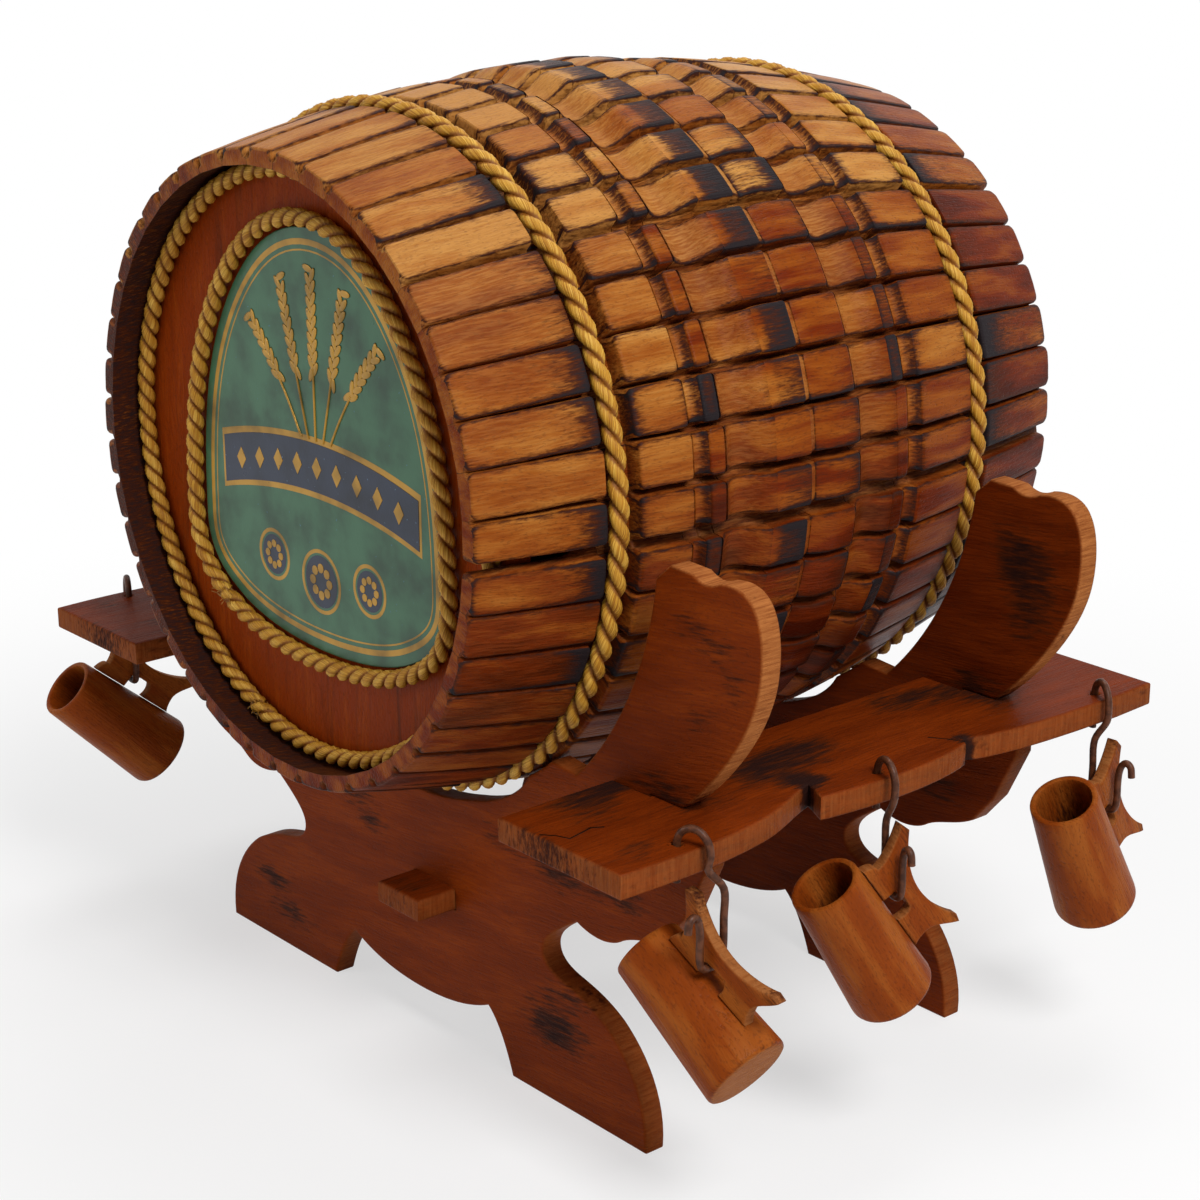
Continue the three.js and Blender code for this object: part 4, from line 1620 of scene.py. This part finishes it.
    def lay(
        self, draft: Draft, outline: Sequence[Pair], holes: Sequence[Sequence[Pair]] = (), level: int = 1
    ) -> None:
        """Lays one flat colour on the panel.

        Args:
            draft: The mesh being drawn.
            outline: Outline in x and z on the panel.
            holes: Outlines left open.
            level: How many inks lie there.
        """
        height = self.ink * level
        middle = self.back - self.thickness + self.sunk - height / 2
        place: Placer = lambda x, z, w: self.spot(x, z, middle - w)
        Board(outline, height, place, self.lie, holes, rounding=0.04, grid=0.0, unevenness=0.0).draw(draft)

    def build_ears(self) -> None:
        """Lays a fan of ears of grain above the band, each on a stem."""
        face = self.back - self.thickness
        ears = []
        stems = []
        for lean in range(-2, 3):
            root, knee, tip = (5.0 * lean, 12.0), (11.0 * lean, 34.0), (21.0 * lean, 78.0 - 6.0 * lean * lean)
            run = Sketch(*root).curve(*knee, *tip, steps=40).points
            stems.append([self.spot(x, z, face - 0.15) for x, z in run[:22]])
            ears.append([self.spot(x, z, face - 0.2) for x, z in run[18:]])
        gold = self.kit.panel_gold
        sizes = {name: size * MM for name, size in self.grain_sizes}
        sizes["spread"] = self.grain_spread
        piece = self.kit.paths.lay("panel_ears_of_grain", self.kit.paths.grains, ears, material=gold, **sizes)
        fit(piece, "barrel", "panel")
        piece = self.kit.paths.bend("panel_stems", stems, self.stem_radius, gold)
        fit(piece, "barrel", "panel")


@dataclass(frozen=True)
class Burn:
    """A burnt patch on a board: its middle, its half sizes and its strength."""

    x: float
    y: float
    wide: float
    tall: float
    strength: float

    def at(self, x: float, y: float) -> float:
        """How burnt the board is at a point."""
        away = math.hypot((x - self.x) / self.wide, (y - self.y) / self.tall)
        return self.strength * max(0.0, 1.0 - away)


def burnt_by(burns: Sequence[Burn], base: float) -> Amount:
    """A function that gives how burnt a board with these patches is at a point."""
    return lambda x, y: base + sum(burn.at(x, y) for burn in burns)


@dataclass
class Stand:
    """The two trestle boards, the two shelves and the stretcher."""

    kit: "Kit"
    axis_z: float = 260.5
    board: float = 10.0
    trestle_y: float = 88.0
    horn_radius: float = 153.5
    seat_radius: float = 142.56
    shelf_top: float = 155.0
    shelf_inner: float = 128.5
    shelf_outer: float = 198.0
    shelf_half: float = 149.5
    lap: float = 150.0
    stretcher_x: float = 12.5
    stretcher_z: float = 68.5
    stretcher_width: float = 28.0
    stretcher_reach: float = 112.5
    hole_x: float = 190.0
    hole_radius: float = 2.1
    hole_ys: tuple[float, ...] = (-116.0, -11.0, 121.0)
    trestle_burns: tuple[Burn, ...] = (
        Burn(-113.0, 31.0, 26.0, 8.0, 0.85), Burn(-99.0, 17.0, 28.0, 7.0, 0.8),
        Burn(-42.0, 95.0, 20.0, 7.0, 0.75), Burn(-32.0, 85.0, 20.0, 7.0, 0.7),
        Burn(92.0, 34.0, 30.0, 14.0, 1.0), Burn(100.0, 51.0, 28.0, 7.0, 0.65),
        Burn(96.0, 105.0, 30.0, 11.0, 0.75), Burn(133.0, 108.0, 26.0, 11.0, 0.7),
        Burn(58.0, 106.0, 20.0, 8.0, 0.6), Burn(171.0, 227.0, 16.0, 12.0, 0.42),
        Burn(187.0, 223.0, 16.0, 12.0, 0.42), Burn(195.0, 210.0, 12.0, 14.0, 0.42),
        Burn(177.0, 193.0, 14.0, 16.0, 0.38), Burn(-190.0, 215.0, 26.0, 24.0, 0.6),
        Burn(158.0, 158.0, 26.0, 12.0, 0.7), Burn(-158.0, 158.0, 26.0, 12.0, 0.7),
    )
    rear_burns: tuple[Burn, ...] = (
        Burn(178.0, 214.0, 20.0, 17.0, 0.85), Burn(188.0, 196.0, 16.0, 16.0, 0.6),
    )
    shelf_burns: tuple[Burn, ...] = (
        Burn(156.0, -150.0, 34.0, 4.0, 0.6), Burn(133.0, -104.0, 14.0, 28.0, 1.0),
        Burn(132.0, -82.0, 14.0, 22.0, 0.9), Burn(147.0, -120.0, 18.0, 20.0, 0.6),
        Burn(159.0, -44.0, 22.0, 26.0, 0.95), Burn(154.0, -17.0, 20.0, 26.0, 0.9),
        Burn(142.0, 54.0, 18.0, 30.0, 0.8), Burn(150.0, 82.0, 20.0, 24.0, 0.75),
        Burn(166.0, -82.0, 16.0, 20.0, 0.55), Burn(179.0, -38.0, 11.0, 12.0, 1.5),
        Burn(188.0, 41.0, 8.0, 8.0, 1.2), Burn(169.0, 85.0, 18.0, 22.0, 0.6),
        Burn(185.0, -130.0, 12.0, 16.0, 0.5),
    )
    stretcher_burns: tuple[Burn, ...] = (
        Burn(0.0, -106.0, 20.0, 26.0, 0.3), Burn(0.0, 106.0, 20.0, 26.0, 0.3),
    )
    crack: tuple[Pair, ...] = (
        (151.0, -148.0), (156.0, -144.0), (161.0, -142.0), (158.5, -130.0), (161.0, -125.5),
    )
    kerf: tuple[Pair, ...] = ((178.0, 31.0), (185.0, 35.5), (191.0, 38.5))
    crack_depth: float = 0.75
    crack_radius: float = 0.9
    clearance: float = 0.3
    front_tone: float = 0.5
    # The rear trestle is toned darker as painted shade.
    rear_tone: float = 0.22
    shelf_tone: float = 0.3
    stretcher_tone: float = 0.28
    trestle_char: float = -0.05
    shelf_char: float = -0.04
    wing_from: float = 156.0
    wing_edge: float = 0.95
    trestle_edge: float = 0.35
    shelf_end_edge: float = 0.4
    long_edge: float = 0.3

    def on_circle(self, radius: float, degrees: float) -> Pair:
        """A point in x and z on a circle about the barrel's axis."""
        angle = math.radians(degrees)
        return (radius * math.cos(angle), self.axis_z + radius * math.sin(angle))

    def trestle_outline(self) -> list[Pair]:
        """Draws a trestle board.

        Returns:
            Its outline in x and z.
        """
        under = self.shelf_top - self.board - self.clearance
        over = self.shelf_top + self.clearance
        seat_x, seat_z = self.on_circle(self.seat_radius, -57.5)
        centre = (0.0, self.axis_z)
        half = Sketch(0.0, 17.5)
        half.curve(20.0, 17.5, 36.0, 21.0, 48.0, 27.0)
        half.curve(57.0, 20.0, 64.0, 0.0)
        half.line(148.0, 0.0)
        half.curve(150.0, 22.0, 138.0, 38.0, 125.0, 47.0)
        half.curve(115.0, 53.0, 106.0, 55.0, 97.0, 57.0)
        half.curve(89.0, 59.0, 85.0, 62.0, 85.0, 67.0)
        half.curve(85.0, 73.0, 94.0, 79.0, 106.0, 86.5)
        half.curve(113.0, 83.5, 124.0, 82.0, 132.0, 87.0)
        half.curve(139.0, 92.0, 149.0, 92.0, 159.0, 98.0)
        half.line(170.0, 111.0).line(181.0, 134.0).line(181.0, under).line(self.lap, under)
        half.line(self.lap, over).line(168.0, over)
        half.curve(181.0, 166.0, 199.0, 186.0, 205.5, 205.0)
        half.curve(209.5, 216.0, 210.0, 233.0, 205.0, 241.0)
        half.curve(201.0, 248.5, 192.0, 249.0, 186.0, 247.5)
        half.curve(181.0, 245.0, 177.0, 245.0, 172.0, 248.0)
        half.line(160.0, 248.5).line(*self.on_circle(self.horn_radius, -7.0))
        half.arc(centre, self.horn_radius, -7.0, -46.0, 24)
        half.line(*self.on_circle(self.seat_radius, -50.0))
        half.arc(centre, self.seat_radius, -50.0, -57.5, 6)
        half.curve(seat_x - 6.0, seat_z - 11.0, 54.0, 121.0, 36.0, 117.0)
        half.curve(18.0, 112.0, 0.0, 112.0)
        return half.closed_by_mirror()

    def shelf_outline(self) -> list[Pair]:
        """Draws the right shelf.

        Returns:
            Its outline in x and y.
        """
        o, end, slot = self.shelf_outer, self.shelf_half, self.board / 2 + self.clearance
        lap = self.lap + self.clearance
        path = Sketch(self.shelf_inner, -end)
        path.line(o - 0.5, -end)
        path.curve(o + 1.0, -125.0, o + 1.0, -95.0, o - 5.0, -72.0, steps=18)
        path.curve(o - 8.0, -60.0, o - 14.0, -50.0, o - 17.0, -39.5)
        path.line(o - 4.5, -45.5)
        path.curve(o, -20.0, o + 1.5, 15.0, o - 6.0, 38.0, steps=18)
        path.line(o - 10.0, 41.0)
        path.curve(o - 4.0, 50.0, o - 0.5, 75.0, o, 127.0, steps=18)
        path.line(o - 1.0, end).line(self.shelf_inner, end)
        for y in (self.trestle_y, -self.trestle_y):
            path.line(self.shelf_inner, y + slot).line(lap, y + slot)
            path.line(lap, y - slot).line(self.shelf_inner, y - slot)
        return path.points

    def build(self) -> None:
        """Builds every piece of the stand."""
        self.build_trestles()
        self.build_shelves()
        self.build_stretcher()
        # The crack and the saw kerf are near-black wires laid into the shelf top, painted shade in place of
        # open cuts.
        level = self.shelf_top - self.crack_depth
        lines = [[Vector((x, y, level)) for x, y in line] for line in (self.crack, self.kerf)]
        piece = self.kit.paths.bend("shelf_crack_and_kerf", lines, self.crack_radius, self.kit.soot)
        fit(piece, "stand", "stand_wood")

    def build_trestles(self) -> None:
        """Builds the two trestle boards, with a mortise for the stretcher."""
        half_width = self.stretcher_width / 2 + self.clearance
        half_high = self.board / 2 + self.clearance
        x, z = self.stretcher_x, self.stretcher_z
        hole = [(x - half_width, z - half_high), (x + half_width, z - half_high)]
        hole += [(x + half_width, z + half_high), (x - half_width, z + half_high)]
        # The rear trestle's darker tone is painted shade.
        for name, y, seed, tone, burns in (
            ("trestle_front", -self.trestle_y, 0.0, self.front_tone, self.trestle_burns),
            ("trestle_rear", self.trestle_y, 430.0, self.rear_tone, self.trestle_burns + self.rear_burns),
        ):
            board = Board(
                self.trestle_outline(),
                self.board,
                lambda u, v, w, y=y: Vector((u, y - w, v)),
                lambda u, v, w, s=seed: Vector((u + 0.35 * v + s, v - 0.12 * u, w + s)),
                [hole],
                tone=tone,
                char=burnt_by(burns, self.trestle_char),
                edge=lambda u, v: self.wing_edge if v > self.wing_from else self.trestle_edge,
            )
            fit(board.make(f"sawn_{name}", self.kit.stand_wood), "stand", "stand_wood", name)

    def build_shelves(self) -> None:
        """Builds the two shelves, each with three holes for hooks."""
        middle = self.shelf_top - self.board / 2
        burns = burnt_by(self.shelf_burns, self.shelf_char)
        end = self.shelf_half - 0.6
        for name, side, seed in (("shelf_right", 1, 110.0), ("shelf_left", -1, 770.0)):
            board = Board(
                [(side * x, y) for x, y in self.shelf_outline()],
                self.board,
                lambda u, v, w: Vector((u, v, middle + w)),
                lambda u, v, w, s=seed: Vector((v + s, u, w + s)),
                [ring_of((side * self.hole_x, y), self.hole_radius) for y in self.hole_ys],
                tone=self.shelf_tone,
                char=lambda u, v, s=side: burns(s * u, v),
                edge=lambda u, v: self.shelf_end_edge if abs(v) > end else self.long_edge,
            )
            fit(board.make(f"sawn_{name}", self.kit.stand_wood), "stand", "stand_wood", name)

    def build_stretcher(self) -> None:
        """Builds the stretcher, a worn bar through both trestles."""
        half = self.stretcher_width / 2
        reach = self.stretcher_reach
        outline = Sketch(-half, -reach).line(half, -reach).line(half, reach)
        outline.line(-half, reach).line(-half, -reach)
        board = Board(
            outline.points[:-1],
            self.board,
            lambda u, v, w: Vector((self.stretcher_x + u, v, self.stretcher_z + w)),
            lambda u, v, w: Vector((v + 300.0, u, w + 80.0)),
            rounding=1.1,
            tone=self.stretcher_tone,
            char=burnt_by(self.stretcher_burns, 0.0),
            edge=lambda u, v: self.long_edge,
        )
        fit(board.make("sawn_stretcher", self.kit.stand_wood), "stand", "stand_wood", "stretcher")


@dataclass(frozen=True)
class Hanger:
    """A hook in a shelf with its mug: place along the shelf, turn, heading of the mug and tilt."""

    name: str
    side: int
    y: float
    turn: float
    heading: float
    tilt: float


def level_way(degrees: float) -> Vector:
    """A level direction."""
    return Vector((math.cos(math.radians(degrees)), math.sin(math.radians(degrees)), 0.0))


def smooth_run(points: Sequence[Vector], steps: int) -> list[Vector]:
    """A smooth run through points that doesn't overshoot between them.

    Args:
        points: Points to pass through.
        steps: Pieces between two points.
    Returns:
        The finer points.
    """
    whole = [2 * points[0] - points[1], *points, 2 * points[-1] - points[-2]]
    made = [points[0].copy()]
    for a, b, c, d in zip(whole, whole[1:], whole[2:], whole[3:]):
        t1 = (b - a).length ** 0.5
        t2 = t1 + (c - b).length ** 0.5
        t3 = t2 + (d - c).length ** 0.5
        for i in range(1, steps + 1):
            t = blend(t1, t2, i / steps)
            ab = a.lerp(b, t / t1)
            bc = b.lerp(c, (t - t1) / (t2 - t1))
            cd = c.lerp(d, (t - t2) / (t3 - t2))
            abc = ab.lerp(bc, t / t2)
            bcd = bc.lerp(cd, (t - t1) / (t3 - t1))
            made.append(abc.lerp(bcd, (t - t1) / (t2 - t1)))
    return made


@dataclass
class Hangings:
    """The six wire hooks with their mugs."""

    kit: "Kit"
    hole_x: float = 190.0
    shelf_top: float = 155.0
    wire: float = 1.5
    bar_out: float = 14.0
    bar_drop: float = 46.0
    mug_height: float = 61.0
    mouth_radius: float = 14.25
    base_radius: float = 17.5
    bore_radius: float = 11.6
    floor: float = 7.0
    handle_thickness: float = 5.5
    pivot_along: float = 25.1
    pivot_out: float = 20.8
    wire_steps: int = 5
    mug_sides: int = 48
    mug_sharp: float = 40.0
    mug_tone: float = 0.55
    mug_wobble: float = 0.006
    base_sawn: float = 0.9
    base_chamfer: float = 1.5
    handle_tone: float = 0.62
    handle_clearance: float = 0.3
    hangers: tuple[Hanger, ...] = (
        Hanger("right_front", 1, -116.0, 25.0, 4.0, 57.0),
        Hanger("right_middle", 1, -11.0, -15.0, 75.0, 32.0),
        Hanger("right_rear", 1, 121.0, -25.0, 95.0, 28.0),
        Hanger("left_front", -1, -116.0, -25.0, 81.0, 47.0),
        Hanger("left_middle", -1, -11.0, 8.0, 96.0, 38.0),
        Hanger("left_rear", -1, 121.0, -25.0, 176.0, 57.0),
    )
    arch: tuple[Pair, ...] = (
        (0.0, -15.0), (0.0, 0.0), (0.6, 3.0), (2.4, 5.6), (5.2, 7.0),
        (8.2, 6.6), (10.8, 4.6), (12.6, 1.4), (13.2, -2.5), (12.4, -8.0),
    )
    lower: tuple[Pair, ...] = (
        (-6.2, -17.0), (-6.4, -29.0), (-6.2, -41.4), (-5.3, -44.7), (-3.3, -46.0), (3.3, -46.0), (5.3, -44.7),
        (6.2, -41.4), (6.2, -33.0), (6.6, -28.0), (7.8, -24.8), (9.8, -23.4), (11.8, -24.6), (12.6, -29.0),
    )

    def out_from(self, hanger: Hanger) -> Vector:
        """The direction in which a hook stands out from its shelf."""
        return level_way((0.0 if hanger.side > 0 else 180.0) + hanger.turn)

    def pivot(self, hanger: Hanger) -> Vector:
        """The middle of the bar that a mug hangs on."""
        hole = Vector((hanger.side * self.hole_x, hanger.y, self.shelf_top - self.bar_drop))
        return hole + self.out_from(hanger) * self.bar_out

    def hook_path(self, hanger: Hanger) -> list[Vector]:
        """Draws the run of a hook's wire.

        Args:
            hanger: The hook.
        Returns:
            Points in millimetres.
        """
        out = self.out_from(hanger)
        across = level_way(hanger.heading - 90.0)
        pivot = self.pivot(hanger)
        facing = -1.0 if across.x * hanger.side < -0.2 else 1.0
        top = Vector((hanger.side * self.hole_x, hanger.y, self.shelf_top))
        points = [top + out * r + Vector((0.0, 0.0, z)) for r, z in self.arch]
        foot = Vector((pivot.x, pivot.y, self.shelf_top))
        points += [foot + across * facing * s + Vector((0.0, 0.0, z)) for s, z in self.lower]
        return smooth_run(points, self.wire_steps)

    def mug_matrix(self, hanger: Hanger) -> Matrix:
        """Places a mug.

        Args:
            hanger: The hook of the mug.
        Returns:
            Its place, with local X out through the handle and local Y from mouth to base.
        """
        heading = level_way(hanger.heading)
        up = Vector((0.0, 0.0, 1.0))
        tilt = math.radians(hanger.tilt)
        along = heading * math.sin(tilt) - up * math.cos(tilt)
        out = heading * math.cos(tilt) + up * math.sin(tilt)
        across = out.cross(along)
        mouth = self.pivot(hanger) - along * self.pivot_along - out * self.pivot_out
        matrix = Matrix((out, along, across)).transposed().to_4x4()
        matrix.translation = mouth
        return matrix

    def build(self) -> None:
        """Builds the hooks, mugs and handles."""
        for number, hanger in enumerate(self.hangers):
            node = f"hook_{hanger.name}"
            hook = self.kit.paths.bend(f"bent_{node}", [self.hook_path(hanger)], self.wire, self.kit.wire)
            fit(hook, node, "wire", node)
            matrix = self.mug_matrix(hanger)
            self.build_mug(hanger, matrix, 90.0 * number)
            self.build_handle(hanger, matrix, 90.0 * number + 40.0)

    def profile(self) -> list[Triple]:
        """Draws the turned outline of a mug, from the floor of its bore over the mouth to its base.

        Returns:
            The radius, the distance from the mouth and the char mark for each point: how burnt it is outside,
            and inside the bore painted shade that deepens towards the floor.
        """
        bore, mouth, base, tall = self.bore_radius, self.mouth_radius, self.base_radius, self.mug_height
        deep = tall - self.floor
        # Inside the bore the char mark is painted shade, darkest at the floor.
        made = [(bore * 0.5, deep, 0.9), (bore - 1.2, deep, 0.9)]
        made += [(bore - 0.3, deep - 0.4, 0.9), (bore, deep - 1.5, 0.85)]
        made += [(bore, v, 0.7 * v / deep + 0.1) for v in (40.0, 28.0, 16.0, 8.0, 3.0, 0.9)]
        made += [(bore + 0.25, 0.25, 0.05), (bore + 0.8, 0.0, 0.05)]
        made += [(mouth - 0.9, 0.0, 0.05), (mouth - 0.25, 0.25, 0.12)]
        walls = [0.9, 4.0, 10.0, 17.0, 24.0, 31.0, 38.0, 45.0, 52.0, tall - 2.4]
        made += [(self.outside(v), v, 0.06) for v in walls]
        made += [(base - 0.1, tall - 1.3, 0.2), (base - 0.5, tall - 0.45, 0.25), (base - 1.4, tall, 0.15)]
        made += [(base * 0.6, tall, 0.05), (base * 0.3, tall, 0.05)]
        return made

    def build_mug(self, hanger: Hanger, matrix: Matrix, seed: float) -> None:
        """Builds a turned mug.

        Args:
            hanger: The hook that it hangs on.
            matrix: Its place.
            seed: Where its wood is cut from.
        """
        draft = Draft()
        sides, tall = self.mug_sides, self.mug_height
        rows = []
        for radius, along, char in self.profile():
            row = []
            flat = self.base_sawn if along > tall - 0.1 else 0.0
            for i in range(sides):
                angle = math.tau * i / sides
                turn = Vector((math.cos(angle), math.sin(angle), along * 0.03 + seed))
                swell = radius * (1.0 + self.mug_wobble * noise.noise(turn))
                spot = Vector((swell * math.cos(angle), along, swell * math.sin(angle)))
                grain = Vector((along + seed, spot.x, spot.z + seed))
                row.append(draft.add(matrix @ spot, grain, self.mug_tone, char, flat))
            rows.append(row)
        draft.skin(rows)
        # The middle of the bore's floor gets the same painted shade.
        for row, along, char in ((rows[0], tall - self.floor, 0.9), (rows[-1], tall, 0.05)):
            centre = matrix @ Vector((0.0, along, 0.0))
            grain = Vector((along + seed, 0.0, seed))
            tip = draft.add(centre, grain, self.mug_tone, char, self.base_sawn)
            draft.faces += [(row[i], row[(i + 1) % sides], tip) for i in range(sides)]
        node = f"mug_{hanger.name}"
        fit(draft.piece(f"turned_{node}", self.kit.mug_wood, self.mug_sharp), node, "mug_wood", node)

    def build_handle(self, hanger: Hanger, matrix: Matrix, seed: float) -> None:
        """Builds a sawn handle.

        Args:
            hanger: The hook that its mug hangs on.
            matrix: Place of the mug.
            seed: Where its wood is cut from.
        """
        wall = self.wall
        path = Sketch(wall(6.0), 6.0)
        path.curve(20.5, 7.0, 20.5, 9.7, steps=6)
        path.curve(27.0, 9.5, 38.0, 0.5)
        path.line(39.5, 5.0)
        path.curve(33.0, 14.0, 30.0, 22.0, 30.5, 31.0)
        path.curve(31.0, 38.0, 34.0, 46.0, 38.0, 51.5)
        path.line(37.5, 55.2)
        path.curve(32.0, 52.5, 28.0, 47.0, 23.0, 48.0)
        path.curve(19.0, 48.5, wall(50.0), 50.0, steps=6)
        path.line(wall(34.5), 34.5, 3.0)
        path.curve(21.0, 36.0, 23.6, 33.5, steps=6)
        path.line(23.5, 28.1, 3.0)
        path.arc((self.pivot_out, self.pivot_along), 2.1, 20.0, -110.0, 8)
        path.line(wall(22.9), 22.9, 3.0)
        board = Board(
            path.points,
            self.handle_thickness,
            lambda u, v, w: matrix @ Vector((u, v, w)),
            lambda u, v, w: Vector((v + seed, u, w + seed)),
            rounding=0.7,
            grid=4.0,
            tone=self.handle_tone,
            char=lambda u, v: 0.12 + 0.3 * max(0.0, (u - 33.0) / 6.0),
        )
        node = f"mug_handle_{hanger.name}"
        fit(board.make(f"sawn_{node}", self.kit.mug_wood), f"mug_{hanger.name}", "mug_wood", node)

    def outside(self, along: float) -> float:
        """Radius of a mug at a distance from its mouth."""
        return blend(self.mouth_radius, self.base_radius, along / (self.mug_height - self.base_chamfer))

    def wall(self, along: float) -> float:
        """Distance from a mug's axis at which its handle starts."""
        return self.outside(along) + self.handle_clearance


class Kit:
    """Every finish as a material, and the path tools."""

    def __init__(self) -> None:
        """Builds the finishes and the tools."""
        effects = Effects()
        self.stave_wood = WoodFinish(
            "stave_wood",
            tones=((66, 17, 2), (108, 37, 5), (142, 72, 18), (166, 101, 38), (190, 134, 66)),
            sawn=((142, 82, 36), (156, 98, 48), (172, 116, 62)),
            figure=0.36, roughness=0.3, gloss=0.05, marks=0.2,
        ).material(effects)
        self.head_wood = WoodFinish(
            "head_wood",
            tones=((136, 50, 6), (160, 70, 14), (176, 84, 22)),
            sawn=((150, 90, 50), (170, 110, 64)),
            fibre=0.4, streaks=0.55, roughness=0.3, gloss=0.05, source=GrainSource.UPRIGHT,
        ).material(effects)
        self.stand_wood = WoodFinish(
            "stand_wood",
            tones=((88, 29, 4), (122, 47, 7), (152, 67, 13)),
            sawn=((120, 60, 24), (184, 116, 62)),
            burnt=(40, 21, 17),
            figure=0.26, fibre=0.26, stroke_scale=0.5, strokes=1.6, gloss=0.035,
        ).material(effects)
        self.mug_wood = WoodFinish(
            "mug_wood",
            tones=((108, 42, 7), (134, 60, 14), (168, 96, 36)),
            sawn=((132, 70, 28), (166, 106, 58)),
            figure=0.42, roughness=0.33, gloss=0.05,
        ).material(effects)
        self.rope = RopeFinish().material()
        self.rope_fibre = PrintFinish("rope_fibre", (176, 122, 40), (150, 96, 30)).material()
        # Colour of the crack and kerf wires: painted shade in the cuts.
        self.soot = PrintFinish("soot", (26, 11, 5), (36, 18, 10), gloss=0.05).material()
        self.panel_green = PrintFinish("panel_green", (62, 108, 78), (70, 120, 150)).material()
        self.panel_navy = PrintFinish("panel_navy", (36, 46, 66), (90, 120, 150)).material()
        self.panel_gold = PrintFinish("panel_gold", (190, 142, 48), (120, 96, 50), 0.25).material()
        self.wire = WireFinish().material()
        self.paths = PathTool()


@dataclass(frozen=True)
class Lamp:
    """A square lamp that faces the barrel, with lengths in metres and its power in watts."""

    name: str
    place: Triple
    size: float
    power: float
    target: Triple = (0.0, 0.0, 0.2)

    def build(self) -> None:
        """Sets the lamp up."""
        data = bpy.data.lights.new(self.name, "AREA")
        data.size = self.size
        data.energy = self.power
        lamp = put(self.name, data)
        lamp.location = self.place
        aim = Vector(self.target) - Vector(self.place)
        lamp.rotation_euler = aim.to_track_quat("-Z", "Y").to_euler()


def seen_rays(graph: Graph) -> Socket:
    """Picks the rays that show the background, in the picture and in gloss and glass.

    Args:
        graph: The graph that asks.
    Returns:
        One for such rays, and zero for others.
    """
    rays = graph.node("ShaderNodeLightPath").outputs
    mirrored = graph.math("MAXIMUM", rays["Is Camera Ray"], rays["Is Glossy Ray"])
    return graph.math("MAXIMUM", mirrored, rays["Is Transmission Ray"])


@dataclass
class Studio:
    """The floor, the lights and the camera at the photograph's viewing angle."""

    azimuth: float = 49.25
    elevation: float = 18.3
    roll: float = -0.12
    distance: float = 1163.7
    target: Triple = (-24.15, 32.21, 162.17)
    lens: float = 76.45
    sensor: float = 36.0
    floor_half: float = 6.0
    floor_grey: float = 0.92
    floor_fade: Pair = (0.2, 0.75)
    floor_glow: float = 0.6
    sky: float = 0.18
    lamps: tuple[Lamp, ...] = (
        Lamp("key", (1.4, -0.35, 1.6), 0.7, 32.0),
        Lamp("fill", (-0.9, -1.6, 0.8), 1.0, 6.5),
        Lamp("top", (-0.3, 0.6, 1.9), 1.0, 12.0),
    )

    def build(self) -> None:
        """Sets up the whole studio."""
        self.build_floor()
        self.build_lights()
        self.build_camera()
        bpy.context.scene.view_settings.view_transform = "Standard"

    def build_floor(self) -> None:
        """A plain pale floor that keeps the shadow and runs out to white."""
        mesh = bpy.data.meshes.new("floor")
        half = self.floor_half
        corners = [(-half, -half, 0.0), (half, -half, 0.0), (half, half, 0.0), (-half, half, 0.0)]
        mesh.from_pydata(corners, [], [(0, 1, 2, 3)])
        material, graph, shader = new_material("pale_floor")
        grey = (self.floor_grey, self.floor_grey, self.floor_grey, 1.0)
        graph.fill(shader, {"Base Color": grey, "Roughness": 0.9, "Specular IOR Level": 0.0})
        place = graph.node("ShaderNodeTexCoord").outputs["Object"]
        away = graph.node("ShaderNodeVectorMath", {0: place}, operation="LENGTH").outputs["Value"]
        fade = graph.span(away, *self.floor_fade)
        fade = graph.tied(fade, 1.0 - self.floor_glow, self.floor_glow)
        white = graph.first("ShaderNodeEmission", {"Strength": 1.0})
        shown = graph.times(seen_rays(graph), fade)
        both = graph.first("ShaderNodeMixShader", {0: shown, 1: shader.outputs[0], 2: white})
        graph.feed(graph.tree.nodes["Material Output"].inputs["Surface"], both)
        mesh.materials.append(material)
        put("floor", mesh)

    def build_lights(self) -> None:
        """Soft light from all round, with a large lamp at the upper right."""
        world = bpy.data.worlds.new("studio")
        bpy.context.scene.world = world
        world.use_nodes = True
        world.node_tree.nodes.clear()
        graph = Graph(world.node_tree)
        plain = (1.0, 1.0, 1.0, 1.0)
        soft = graph.first("ShaderNodeBackground", {"Color": plain, "Strength": self.sky})
        white = graph.first("ShaderNodeBackground", {"Color": plain, "Strength": 1.0})
        both = graph.first("ShaderNodeMixShader", {0: seen_rays(graph), 1: soft, 2: white})
        graph.node("ShaderNodeOutputWorld", {"Surface": both})
        for lamp in self.lamps:
            lamp.build()

    def build_camera(self) -> None:
        """Sets the camera."""
        turn, climb, roll = (math.radians(value) for value in (self.azimuth, self.elevation, self.roll))
        back = Vector((math.sin(turn) * math.cos(climb), -math.cos(turn) * math.cos(climb), math.sin(climb)))
        right = Vector((math.cos(turn), math.sin(turn), 0.0))
        up = back.cross(right)
        side = right * math.cos(roll) + up * math.sin(roll)
        top = up * math.cos(roll) - right * math.sin(roll)
        matrix = Matrix((side, top, back)).transposed().to_4x4()
        matrix.translation = (Vector(self.target) + back * self.distance) * MM
        data = bpy.data.cameras.new("camera")
        data.lens = self.lens
        data.sensor_width = self.sensor
        camera = put("camera", data)
        camera.matrix_world = matrix
        bpy.context.scene.camera = camera


def main() -> None:
    """Builds the object and the studio."""
    logging.basicConfig(level=logging.INFO, format="%(name)s %(message)s")
    Studio().build()
    kit = Kit()
    for assembly in (Barrel, Stand, Hangings):
        assembly(kit).build()


if __name__ == "__main__":
    main()
